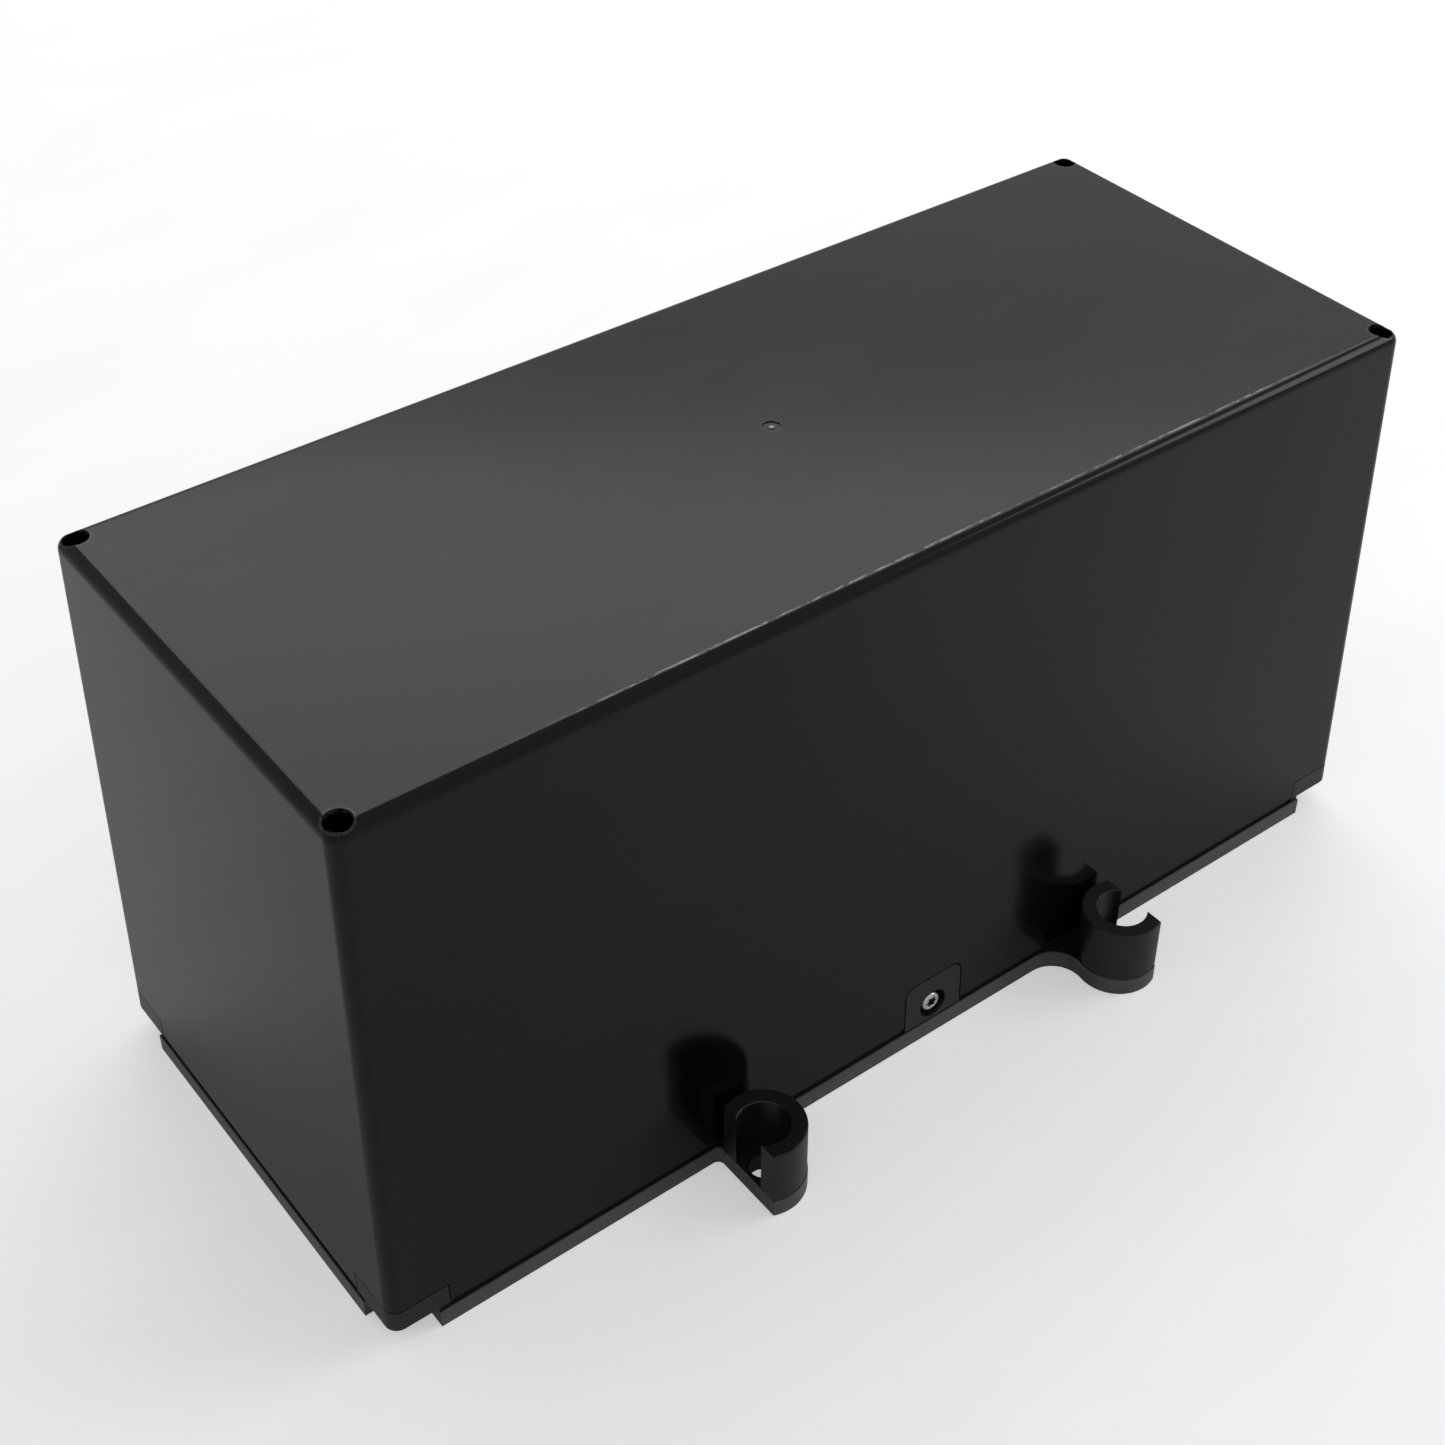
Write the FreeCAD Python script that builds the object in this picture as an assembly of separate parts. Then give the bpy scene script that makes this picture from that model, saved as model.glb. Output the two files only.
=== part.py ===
import FreeCAD, Part
import math
import os

# Battery box: a drafted lift-off cover on a base plate with two bolt-down ears, holding two
# sealed 12 V blocks in line.  Millimetres.  The origin is the middle of the base's underside,
# +X runs along the box, -Y is the long face with the ears, +Z is up.

# ---- cover ----
cover_length = 314.0
cover_width = 129.4
overall_height = 156.0
draft_angle = 1.2
wall = 2.4
top_wall = 2.8
corner_radius = 3.4
top_fillet = 3.0
gate_radius = 2.4
gate_depth = 0.25
gate_nub_radius = 0.8
gate_nub_drop = 0.05

# ---- base plate, neck and rim ----
plate_thickness = 5.3
plate_chamfer = 0.25
seam_height = 2.05
floor_thickness = 3.0
rim_height = 9.7
rim_wall = 1.6
rim_gap = 0.4
notch_long = 12.6
notch_short = 13.3
skirt = 4.0
rib = 3.0
pocket_columns = 6

# ---- corner blocks and the wells above them ----
block_long = 15.4
block_short = 15.9
block_bottom = 6.8
block_height = 6.0
parting_gap = 0.3
shadow_groove = 0.5
well_radius = 3.1
well_edge = 4.0
well_floor_rise = 7.0
column_wall = 2.0

# ---- ears ----
ear_pitch = 120.0
ear_offset = 11.5
ear_radius = 11.0
ear_cut = 4.45
ear_hole_radius = 3.4
ear_blend = 8.4
ear_corner = 1.9
guard_step = 0.2
guard_bore = 6.6
guard_height = 16.0
guard_chamfer = 0.3

# ---- front tongue and its screw ----
tongue_x = 4.6
tongue_width = 18.4
tongue_rise = 15.2
tongue_corner = 3.2
tongue_gap = 0.4
screw_rise = 5.5
screw_pocket_radius = 4.2
tab_thickness = 2.4
tab_margin = 4.0
seat_gap = 0.2
lug_width = 14.0
lug_depth = 5.2
lug_gap = 0.3
notch_flat = 0.04

# ---- M3 pan-head screws and their brass inserts ----
screw_radius = 1.5
screw_head_radius = 2.9
screw_head_height = 2.2
screw_head_round = 0.9
screw_passage = 1.9
insert_radius = 2.3
insert_length = 4.6
thread_clearance = 0.05
thread_end_gap = 0.4
recess_length = 3.2
recess_width = 0.75
recess_depth = 1.1

# ---- cable entry in the rear wall ----
entry_x = -60.0
entry_width = 30.0
entry_rise = 27.7
grommet_rise = 13.2
grommet_bore = 3.5
grommet_waist = 7.0
grommet_flange = 9.5
grommet_flange_thickness = 2.2
grommet_round = 0.88
grommet_clearance = 0.05

# ---- batteries ----
front_room = 8.4
rear_room = 13.4
headroom = 47.9
seat_strip = 2.0
strip_width = 14.0
divider = 2.0
battery_clearance = 0.2
case_radius = 3.0
lid_height = 8.0
lid_round = 1.5
lid_step = 0.6
vent_length = 92.0
vent_width = 22.0
vent_depth = 1.2
vent_slots = 6
vent_slot_length = 7.6
vent_slot_width = 11.0
vent_slot_depth = 0.4
terminal_inset = 11.5
terminal_setback = 11.0
collar_size = 12.0
collar_height = 1.2
blade_width = 6.35
blade_thickness = 0.8
blade_height = 7.9
blade_clip = 1.27
divider_rise = 70.0
rib_height = 8.0
rib_wall = 1.6
rib_gap = 0.4

# ---- hold-down bars ----
bar_width = 16.0
bar_thickness = 2.5
bar_flange = 4.0
bar_lip = 1.25
bar_end = 3.6
rod_radius = 2.0
rod_gap = 0.8
rod_above_bar = 12.0
boss_radius = 3.8
boss_height = 1.5
washer_radius = 4.4
washer_thickness = 0.8
nut_radius = 3.8
nut_height = 5.0
wing_reach = 9.0
wing_thickness = 1.6
wing_rise = 5.0
wing_tip = 2.7
wing_root = 4.0

# ---- wiring ----
wire_radius = 1.6
arc_share = 0.45
lead_rise = 12.0
lead_step = 9.0
lead_level = 14.0
lead_entry = 24.0
lead_lift = 4.0
lead_drop = 1.5
sleeve_length = 17.0
sleeve_width = 9.0
sleeve_depth = 5.0
sleeve_neck = 5.1
sleeve_round = 1.25
sleeve_lift = 1.6
sleeve_clearance = 0.15
block_size_x = 22.0
block_size_y = 18.0
block_size_z = 14.0
block_y = 12.0
pole_pitch = 11.0
pole_height = 7.0
clamp_screw_radius = 1.8
clamp_screw_inset = 4.5
clamp_screw_sink = 1.0
clamp_depth = 5.0
wire_socket = 3.0
fuse_holder_x = 36.0
fuse_holder_y = 14.0
fuse_holder_z = 13.0
fuse_body_x = 19.0
fuse_body_y = 5.0
fuse_body_z = 9.0
fuse_blade_x = 5.2
fuse_blade_y = 0.7
fuse_blade_z = 9.0
fuse_blade_pitch = 13.8
fuse_clearance = 0.1
fuse_slot_spare = 0.3

origin = FreeCAD.Vector(0, 0, 0)
margin = 1.0


def inset(height):
    """How far the drafted faces have come in at a height."""
    return height * math.tan(math.radians(draft_angle))


half_length = cover_length / 2
half_width = cover_width / 2
cover_bottom = plate_thickness + seam_height
ceiling = overall_height - top_wall
floor_top = plate_thickness + floor_thickness
rim_top = floor_top + rim_height
neck_x = half_length - inset(rim_top) - wall - rim_gap
neck_y = half_width - inset(rim_top) - wall - rim_gap
block_top = block_bottom + block_height
parting_z = block_top + parting_gap
well_x = half_length - inset(overall_height) - well_edge
well_y = half_width - inset(overall_height) - well_edge
well_floor = parting_z + well_floor_rise
ear_x = ear_pitch / 2
ear_y = -(half_width + ear_offset)
guard_radius = ear_radius - guard_step
tongue_top = plate_thickness + tongue_rise
screw_z = plate_thickness + screw_rise
face_y = -(half_width - inset(screw_z))
seat_y = face_y + wall + seat_gap
lug_y = seat_y + tab_thickness + lug_gap
entry_top = plate_thickness + entry_rise
grommet_z = plate_thickness + grommet_rise
entry_inner_y = half_width - inset(grommet_z) - wall
entry_outer_y = half_width - inset(grommet_z - grommet_flange)
battery_bottom = floor_top + seat_strip
battery_top = ceiling - headroom
rim_inner_x = neck_x - rim_wall
rim_inner_y = neck_y - rim_wall
cover_inner_x = half_length - inset(battery_top) - wall
battery_end = min(rim_inner_x, cover_inner_x - battery_clearance) - battery_clearance
battery_length = battery_end - divider / 2
battery_x = (battery_end + divider / 2) / 2
battery_front = -(rim_inner_y - front_room)
battery_rear = rim_inner_y - rear_room
terminal_y = battery_front + terminal_setback
rod_front = battery_front - rod_gap - rod_radius
rod_rear = battery_rear + rod_gap + rod_radius
bar_top = battery_top + bar_thickness
sleeve_bottom = battery_top + collar_height + sleeve_lift
sleeve_top = sleeve_bottom + sleeve_length
terminal_reach = battery_length / 2 - terminal_inset
inner_terminal = battery_x - terminal_reach
outer_terminal = battery_x + terminal_reach


def box(x_range, y_range, z_range):
    size = [high - low for low, high in (x_range, y_range, z_range)]
    corner = FreeCAD.Vector(x_range[0], y_range[0], z_range[0])
    return Part.makeBox(size[0], size[1], size[2], corner)


def upright(x, y, z_range, radius):
    height = z_range[1] - z_range[0]
    return Part.makeCylinder(radius, height, FreeCAD.Vector(x, y, z_range[0]))


def along_y(x, z, y_range, radius):
    length = y_range[1] - y_range[0]
    return Part.makeCylinder(radius, length, FreeCAD.Vector(x, y_range[0], z), FreeCAD.Vector(0, 1, 0))


def prism(points, z_range):
    corners = [FreeCAD.Vector(x, y, z_range[0]) for x, y in points]
    outline = Part.makePolygon(corners + corners[:1])
    return Part.Face(outline).extrude(FreeCAD.Vector(0, 0, z_range[1] - z_range[0]))


def fused(shapes):
    return shapes[0].multiFuse(shapes[1:]).removeSplitter()


def group(shapes):
    """Separate solids that share one file."""
    return Part.makeCompound(shapes)


def mirrored(shape, normal):
    return shape.mirror(origin, FreeCAD.Vector(*normal))


def both_ends(shape):
    return [shape, mirrored(shape, (1, 0, 0))]


def four_corners(shape):
    pair = both_ends(shape)
    return pair + [mirrored(half, (0, 1, 0)) for half in pair]


def face_edges(shape, height):
    """Edges round the flat face at a height."""
    found = []
    for face in shape.Faces:
        box_of_face = face.BoundBox
        if box_of_face.ZLength < 1e-6 and abs(box_of_face.ZMin - height) < 1e-6:
            found.extend(face.OuterWire.Edges)
    return found


def rounded_outline(half_x, half_y, radius, height):
    """A closed rectangle with four quarter-circle corners."""
    flat_x = half_x - radius
    flat_y = half_y - radius
    edges = []
    for turn in range(4):
        angle = math.radians(90 * turn)
        reach, side = (half_x, flat_y) if turn % 2 == 0 else (half_y, flat_x)
        centre_along = side
        centre_across = reach - radius

        def place(across, along):
            x = across * math.cos(angle) - along * math.sin(angle)
            y = across * math.sin(angle) + along * math.cos(angle)
            return FreeCAD.Vector(x, y, height)

        diagonal = radius * math.sqrt(0.5)
        start = place(reach, -side)
        stop = place(reach, side)
        bend = place(centre_across + diagonal, centre_along + diagonal)
        after = place(centre_across, centre_along + radius)
        edges.append(Part.LineSegment(start, stop).toShape())
        edges.append(Part.Arc(stop, bend, after).toShape())
    return Part.Wire(edges)


def drafted_body(z_range, depth, radius):
    """The cover's outer form between two heights, its faces moved in by a depth."""
    low, high = z_range
    x_low, x_high = [half_length - inset(height) - depth for height in z_range]
    y_low, y_high = [half_width - inset(height) - depth for height in z_range]
    body = Part.makeWedge(-x_low, low, -y_low, -y_high, -x_high, x_low, high, y_low, y_high, x_high)
    body.rotate(origin, FreeCAD.Vector(1, 0, 0), 90)
    return body.makeFillet(radius, [edge for edge in body.Edges if edge.BoundBox.ZLength > margin])


def arch(x_middle, width, z_range, radius, y_range):
    """An upright panel with two rounded top corners, pushed through along Y."""
    left = x_middle - width / 2
    right = x_middle + width / 2
    low, high = z_range
    diagonal = radius * (1 - math.sqrt(0.5))

    def at(x, z):
        return FreeCAD.Vector(x, y_range[0], z)

    shoulder = high - radius
    bend = high - diagonal
    curves = [
        Part.LineSegment(at(left, low), at(right, low)),
        Part.LineSegment(at(right, low), at(right, shoulder)),
        Part.Arc(at(right, shoulder), at(right - diagonal, bend), at(right - radius, high)),
        Part.LineSegment(at(right - radius, high), at(left + radius, high)),
        Part.Arc(at(left + radius, high), at(left + diagonal, bend), at(left, shoulder)),
        Part.LineSegment(at(left, shoulder), at(left, low)),
    ]
    face = Part.Face(Part.Wire([curve.toShape() for curve in curves]))
    return face.extrude(FreeCAD.Vector(0, y_range[1] - y_range[0], 0))


def corner_box(reach_x, reach_y, z_range, beyond=0.0):
    """The +X +Y corner of the footprint, down to a reach along each face."""
    x_range = (half_length - reach_x, half_length + beyond)
    y_range = (half_width - reach_y, half_width + beyond)
    return box(x_range, y_range, z_range)


# ---- cover

def make_cover():
    outer = drafted_body((cover_bottom, overall_height), 0, corner_radius)
    outer = outer.makeFillet(top_fillet, face_edges(outer, overall_height))
    hollow = drafted_body((cover_bottom - margin, ceiling), wall, corner_radius - wall)
    shell = outer.cut(hollow)
    column = upright(well_x, well_y, (parting_z, ceiling + margin), well_radius + column_wall)
    columns = [post.common(outer) for post in four_corners(column)]
    shell = fused([shell] + columns + [cover_tab()])
    well = upright(well_x, well_y, (well_floor, overall_height + margin), well_radius)
    passage = upright(well_x, well_y, (cover_bottom, well_floor + margin), screw_passage)
    corner = corner_box(block_long + parting_gap, block_short + parting_gap, (0, parting_z), margin)
    for tool in four_corners(well) + four_corners(passage) + four_corners(corner):
        shell = shell.cut(tool)
    for tool in cover_slots() + [gate_dimple()]:
        shell = shell.cut(tool)
    return shell.removeSplitter()


def gate_dimple():
    """The sprue mark: a shallow ring round a low nub in the middle of the top."""
    heights = (overall_height - gate_depth, overall_height + margin)
    ring = upright(0, 0, heights, gate_radius)
    nub = upright(0, 0, (heights[0], overall_height - gate_nub_drop), gate_nub_radius)
    return ring.cut(nub)


def cover_tab():
    """The tab behind the tongue that the screw head clamps, open below so the cover lifts off."""
    width = tongue_width + 2 * tab_margin
    z_range = (floor_top + parting_gap, tongue_top + tab_margin)
    y_range = (seat_y - wall, seat_y + tab_thickness)
    tab = arch(tongue_x, width, z_range, tongue_corner, y_range)
    return tab.common(drafted_body((0, overall_height), wall / 2, corner_radius - wall / 2))


def cover_slots():
    reach = (-half_width - margin, seat_y)
    front = arch(tongue_x, tongue_width + 2 * tongue_gap, (0, tongue_top + tongue_gap),
                 tongue_corner + tongue_gap, reach)
    rear_reach = (entry_inner_y - margin, half_width + margin)
    rear = arch(entry_x, entry_width + 2 * tongue_gap, (0, entry_top + tongue_gap),
                tongue_corner + tongue_gap, rear_reach)
    notch_reach = (seat_y - margin, seat_y + tab_thickness + margin)
    notch = arch(tongue_x, 2 * screw_passage, (0, screw_z + screw_passage),
                 screw_passage - notch_flat, notch_reach)
    return [front, rear, notch]


# ---- base

def right_ear_plate():
    """The bolt-down ear: a round plate with one flat side, blended into the base's long face."""
    heights = (0, plate_thickness)
    flat_x = ear_x + ear_cut
    wall_y = -half_width
    disc = upright(ear_x, ear_y, heights, ear_radius)
    disc = disc.cut(box((flat_x, ear_x + 2 * ear_radius), (ear_y - 2 * ear_radius, 0), heights))
    bridge = box((ear_x, flat_x), (ear_y, wall_y + margin), heights)
    reach = math.sqrt((ear_radius + ear_blend) ** 2 - (ear_offset - ear_blend) ** 2)
    blend_x = ear_x - reach
    blend_y = wall_y - ear_blend
    outline = [(blend_x, wall_y + margin), (ear_x, wall_y + margin), (ear_x, ear_y), (blend_x, blend_y)]
    blend = prism(outline, heights).cut(upright(blend_x, blend_y, heights, ear_blend))
    corner = box((flat_x, flat_x + ear_corner), (wall_y - ear_corner, wall_y + margin), heights)
    corner = corner.cut(upright(flat_x + ear_corner, wall_y - ear_corner, heights, ear_corner))
    return fused([disc, bridge, blend, corner])


def right_guard():
    """The C-shaped wall on the ear, open towards the end of the box."""
    heights = (plate_thickness, plate_thickness + guard_height)
    guard = upright(ear_x, ear_y, heights, guard_radius)
    guard = guard.cut(upright(ear_x, ear_y, heights, guard_bore))
    beyond = (ear_y - 2 * ear_radius, ear_y + 2 * ear_radius)
    guard = guard.cut(box((ear_x + ear_cut, ear_x + 2 * ear_radius), beyond, heights))
    return guard.makeChamfer(guard_chamfer, face_edges(guard, heights[1]))


def base_plate():
    heights = (0, plate_thickness)
    plate = box((-half_length, half_length), (-half_width, half_width), heights)
    through = (-margin, plate_thickness + margin)
    for notch in four_corners(corner_box(notch_long, notch_short, through, margin)):
        plate = plate.cut(notch)
    plate = fused([plate] + both_ends(right_ear_plate()))
    plate = plate.makeChamfer(plate_chamfer, face_edges(plate, plate_thickness))
    hole = upright(ear_x, ear_y, through, ear_hole_radius)
    for tool in both_ends(hole) + underside_pockets():
        plate = plate.cut(tool)
    return plate


def underside_pockets():
    """Hollows between the ribs under the floor, which leave a rib along each centre line."""
    reach_x = half_length - notch_long - skirt
    step = 2 * reach_x / pocket_columns
    pockets = []
    for column in range(pocket_columns):
        left = -reach_x + column * step
        x_range = (left + rib / 2, left + step - rib / 2)
        for y_range in ((rib / 2, half_width - skirt), (skirt - half_width, -rib / 2)):
            pockets.append(box(x_range, y_range, (-margin, plate_thickness)))
    return pockets


def floor_and_rim():
    slab = box((-neck_x, neck_x), (-neck_y, neck_y), (plate_thickness, floor_top))
    rim = box((-neck_x, neck_x), (-neck_y, neck_y), (floor_top, rim_top))
    inner_x = (-rim_inner_x, rim_inner_x)
    inner_y = (-rim_inner_y, rim_inner_y)
    rim = rim.cut(box(inner_x, inner_y, (floor_top, rim_top + margin)))
    tab_reach = tongue_width / 2 + tab_margin + rim_gap
    gap_y = rim_inner_y - margin
    heights = (floor_top, rim_top + margin)
    rim = rim.cut(box((tongue_x - tab_reach, tongue_x + tab_reach), (-half_width, -gap_y), heights))
    entry_reach = entry_width / 2
    rim = rim.cut(box((entry_x - entry_reach, entry_x + entry_reach), (gap_y, half_width), heights))
    column_reach = well_radius + column_wall + rim_gap
    clear_x = half_length - well_x + column_reach
    clear_y = half_width - well_y + column_reach
    above = (block_top, rim_top + margin)
    for tool in four_corners(corner_box(clear_x, clear_y, above)):
        rim = rim.cut(tool)
    return [slab, rim]


def corner_blocks(envelope):
    """Blocks that stand in the cover's cut-away corners, flush with its faces."""
    heights = (block_bottom, block_top)
    block = corner_box(block_long, block_short, heights).common(envelope)
    foot = (plate_thickness, block_bottom)
    run = corner_box(block_long, block_short, foot)
    run = run.cut(corner_box(notch_long, half_width, foot))
    cross = corner_box(block_long, block_short, foot)
    cross = cross.cut(corner_box(half_length, notch_short, foot))
    shallow = drafted_body((0, block_top), shadow_groove, corner_radius - shadow_groove)
    feet = [run.common(shallow), cross.common(shallow)]
    return [shape for piece in [block] + feet for shape in four_corners(piece)]


def tongues(envelope):
    """The front tongue with its screw pocket and the rear one that holds the cable grommet."""
    front_reach = (-half_width - margin, seat_y - seat_gap)
    front = arch(tongue_x, tongue_width, (plate_thickness, tongue_top), tongue_corner, front_reach)
    front = front.cut(along_y(tongue_x, screw_z, front_reach, screw_pocket_radius))
    rear_reach = (entry_inner_y, half_width + margin)
    rear = arch(entry_x, entry_width, (plate_thickness, entry_top), tongue_corner, rear_reach)
    rear = rear.cut(along_y(entry_x, grommet_z, rear_reach, grommet_waist))
    groove_heights = (plate_thickness, plate_thickness + shadow_groove)
    solids = []
    for tongue in (front, rear):
        solid = tongue.common(envelope)
        for y_range in ((-half_width, shadow_groove - half_width), (half_width - shadow_groove, half_width)):
            solid = solid.cut(box((-half_length, half_length), y_range, groove_heights))
        solids.append(solid)
    return solids


def front_lug():
    """The lug behind the cover's tab; the insert in it takes the tongue screw."""
    x_range = (tongue_x - lug_width / 2, tongue_x + lug_width / 2)
    y_range = (lug_y, lug_y + lug_depth)
    lug = box(x_range, y_range, (floor_top, screw_z + screw_rise))
    return lug.cut(along_y(tongue_x, screw_z, (lug_y - margin, lug_y + insert_length), insert_radius))


def locating_ribs():
    """Low ribs on the floor along the batteries' long faces, broken where the tie rods stand."""
    heights = (floor_top, floor_top + rib_height)
    clear = boss_radius + rib_gap
    reach = battery_end - block_long
    rows = ((battery_front - rib_gap - rib_wall, battery_front - rib_gap),
            (battery_rear + rib_gap, battery_rear + rib_gap + rib_wall))
    ribs = []
    for y_range in rows:
        ribs.append(box((clear - battery_x, battery_x - clear), y_range, heights))
        outer_rib = box((battery_x + clear, reach), y_range, heights)
        ribs.extend(both_ends(outer_rib))
    return ribs


def battery_space():
    """The room both batteries need above the floor, with a gap round them."""
    x_range = (-battery_end - rib_gap, battery_end + rib_gap)
    y_range = (battery_front - rib_gap, battery_rear + rib_gap)
    return box(x_range, y_range, (floor_top, battery_bottom + rib_height))


def rod_places():
    return [(side * battery_x, y) for side in (-1, 1) for y in (rod_front, rod_rear)]


def make_base():
    envelope = drafted_body((0, entry_top + margin), 0, corner_radius)
    parts = [base_plate()] + floor_and_rim() + corner_blocks(envelope) + tongues(envelope)
    parts += [front_lug()] + locating_ribs() + both_ends(right_guard())
    for x, y in rod_places():
        parts.append(upright(x, y, (floor_top, floor_top + boss_height), boss_radius))
    base = parts[0].multiFuse(parts[1:])
    for x, y in rod_places():
        heights = (plate_thickness + margin, floor_top + boss_height + margin)
        base = base.cut(upright(x, y, heights, rod_radius + thread_clearance))
    passage = upright(well_x, well_y, (block_bottom, block_top), screw_passage)
    bore = upright(well_x, well_y, (block_top - insert_length, block_top + margin), insert_radius)
    for tool in four_corners(passage) + four_corners(bore):
        base = base.cut(tool)
    return base.cut(battery_space()).removeSplitter()


def make_gaskets():
    """Rubber strips on the plate that the cover's lower edge stands on."""
    heights = (plate_thickness, cover_bottom)
    end_x = half_length - block_long - parting_gap
    end_y = half_width - block_short - parting_gap
    outer_x = half_length - 2 * shadow_groove
    outer_y = half_width - 2 * shadow_groove
    strips = []
    spans = ((tongue_x, tongue_width, -outer_y, -neck_y), (entry_x, entry_width, neck_y, outer_y))
    for middle, width, y_low, y_high in spans:
        left = middle - width / 2 - parting_gap
        right = middle + width / 2 + parting_gap
        strips.append(box((-end_x, left), (y_low, y_high), heights))
        strips.append(box((right, end_x), (y_low, y_high), heights))
    strips.append(box((neck_x, outer_x), (-end_y, end_y), heights))
    strips.append(box((-outer_x, -neck_x), (-end_y, end_y), heights))
    return group(strips)


# ---- fasteners

def pan_screw(length):
    """A pan-head screw standing on the origin with its shank down and a cross recess on top."""
    head = upright(0, 0, (0, screw_head_height), screw_head_radius)
    head = head.makeFillet(screw_head_round, face_edges(head, screw_head_height))
    shank = upright(0, 0, (-length, 0), screw_radius)
    screw = head.fuse(shank).removeSplitter()
    heights = (screw_head_height - recess_depth, screw_head_height + margin)
    half = recess_length / 2
    thin = recess_width / 2
    screw = screw.cut(box((-half, half), (-thin, thin), heights))
    return screw.cut(box((-thin, thin), (-half, half), heights))


def facing_front(shape):
    turned = shape.copy()
    turned.rotate(origin, FreeCAD.Vector(1, 0, 0), 90)
    return turned


def make_tongue_screw():
    length = lug_y + insert_length - thread_end_gap - seat_y
    screw = facing_front(pan_screw(length))
    screw.translate(FreeCAD.Vector(tongue_x, seat_y, screw_z))
    return screw


def threaded_insert():
    """A brass insert below the origin with one groove round its waist."""
    body = upright(0, 0, (-insert_length, 0), insert_radius)
    middle = -insert_length / 2
    half_groove = shadow_groove / 2
    band = upright(0, 0, (middle - half_groove, middle + half_groove), insert_radius + margin)
    band = band.cut(upright(0, 0, (-insert_length, 0), insert_radius - 2 * thread_clearance))
    bore = upright(0, 0, (-insert_length - margin, margin), screw_radius + thread_clearance)
    return body.cut(band).cut(bore)


def make_tongue_insert():
    insert = facing_front(threaded_insert())
    insert.translate(FreeCAD.Vector(tongue_x, lug_y, screw_z))
    return insert


def at_wells(shape, height):
    placed = shape.copy()
    placed.translate(FreeCAD.Vector(well_x, well_y, height))
    return group(four_corners(placed))


def make_cover_screws():
    length = well_floor - block_top + insert_length - thread_end_gap
    return at_wells(pan_screw(length), well_floor)


# ---- batteries

def battery_outline(z_range, shrink):
    """An upright block on one battery's footprint, moved in by a shrink, with rounded corners."""
    half_x = battery_length / 2 - shrink
    half_y = (battery_rear - battery_front) / 2 - shrink
    outline = rounded_outline(half_x, half_y, case_radius, z_range[0])
    block = Part.Face(outline).extrude(FreeCAD.Vector(0, 0, z_range[1] - z_range[0]))
    block.translate(FreeCAD.Vector(battery_x, (battery_front + battery_rear) / 2, 0))
    return block


def make_case():
    return battery_outline((battery_bottom, battery_top - lid_height), lid_step)


def vent_area(shrink, z_range):
    middle = (battery_front + battery_rear) / 2
    half_x = vent_length / 2 - shrink
    half_y = vent_width / 2 - shrink
    x_range = (battery_x - half_x, battery_x + half_x)
    return box(x_range, (middle - half_y, middle + half_y), z_range)


def make_lid():
    lid = battery_outline((battery_top - lid_height, battery_top), 0)
    lid = lid.makeFillet(lid_round, face_edges(lid, battery_top))
    return lid.cut(vent_area(0, (battery_top - vent_depth, battery_top + margin)))


def make_vent_strip():
    """The strip over the valves, a little below the lid's face, with a row of slots."""
    top = battery_top - battery_clearance
    strip = vent_area(battery_clearance, (battery_top - vent_depth, top))
    pitch = vent_length / vent_slots
    middle = (battery_front + battery_rear) / 2
    y_range = (middle - vent_slot_width / 2, middle + vent_slot_width / 2)
    for index in range(vent_slots):
        left = battery_x - vent_length / 2 + index * pitch + (pitch - vent_slot_length) / 2
        slot = box((left, left + vent_slot_length), y_range, (top - vent_slot_depth, top + margin))
        strip = strip.cut(slot)
    return strip


def terminal_blade():
    """A flat 6.3 mm tab with clipped top corners, standing on a collar at the origin."""
    half = blade_width / 2
    narrow = half - blade_clip
    low = battery_top
    high = battery_top + collar_height + blade_height
    shoulder = high - blade_clip
    points = [(-half, low), (half, low), (half, shoulder), (narrow, high), (-narrow, high), (-half, shoulder)]
    corners = [FreeCAD.Vector(x, -blade_thickness / 2, z) for x, z in points]
    face = Part.Face(Part.makePolygon(corners + corners[:1]))
    return face.extrude(FreeCAD.Vector(0, blade_thickness, 0))


def collar():
    half = collar_size / 2
    block = box((-half, half), (-half, half), (battery_top, battery_top + collar_height))
    block = block.makeChamfer(collar_height / 2, face_edges(block, battery_top + collar_height))
    return block.cut(terminal_blade())


def sleeve():
    """An insulated push-on socket over a blade, tapered where the wire leaves."""
    half_x = sleeve_width / 2
    half_y = sleeve_depth / 2
    shoulder = sleeve_top - sleeve_neck
    body = box((-half_x, half_x), (-half_y, half_y), (sleeve_bottom, shoulder))
    neck = upright(0, 0, (shoulder, sleeve_top), half_y)
    slot_x = blade_width / 2 + sleeve_clearance
    slot_y = blade_thickness / 2 + sleeve_clearance
    slot_top = battery_top + collar_height + blade_height + sleeve_clearance
    slot = box((-slot_x, slot_x), (-slot_y, slot_y), (sleeve_bottom - margin, slot_top))
    upright_edges = [edge for edge in body.Edges if edge.BoundBox.ZLength > sleeve_depth]
    body = body.makeFillet(sleeve_round, upright_edges)
    return body.fuse(neck).removeSplitter().cut(slot)


def at_terminals(shape, places):
    """A copy of one small part at each terminal."""
    copies = []
    for x in places:
        copy = shape.copy()
        copy.translate(FreeCAD.Vector(x, terminal_y, 0))
        copies.append(copy)
    return group(copies)


def make_seat_strips():
    heights = (floor_top, battery_bottom)
    clear = case_radius + battery_clearance
    rows = ((battery_front + clear, battery_front + clear + strip_width),
            (battery_rear - clear - strip_width, battery_rear - clear))
    return group([box((clear - battery_end, battery_end - clear), y_range, heights) for y_range in rows])


def make_divider():
    half = divider / 2
    y_range = (battery_front + case_radius, battery_rear - case_radius)
    return box((-half, half), y_range, (battery_bottom, battery_bottom + divider_rise))


# ---- hold-downs

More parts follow.
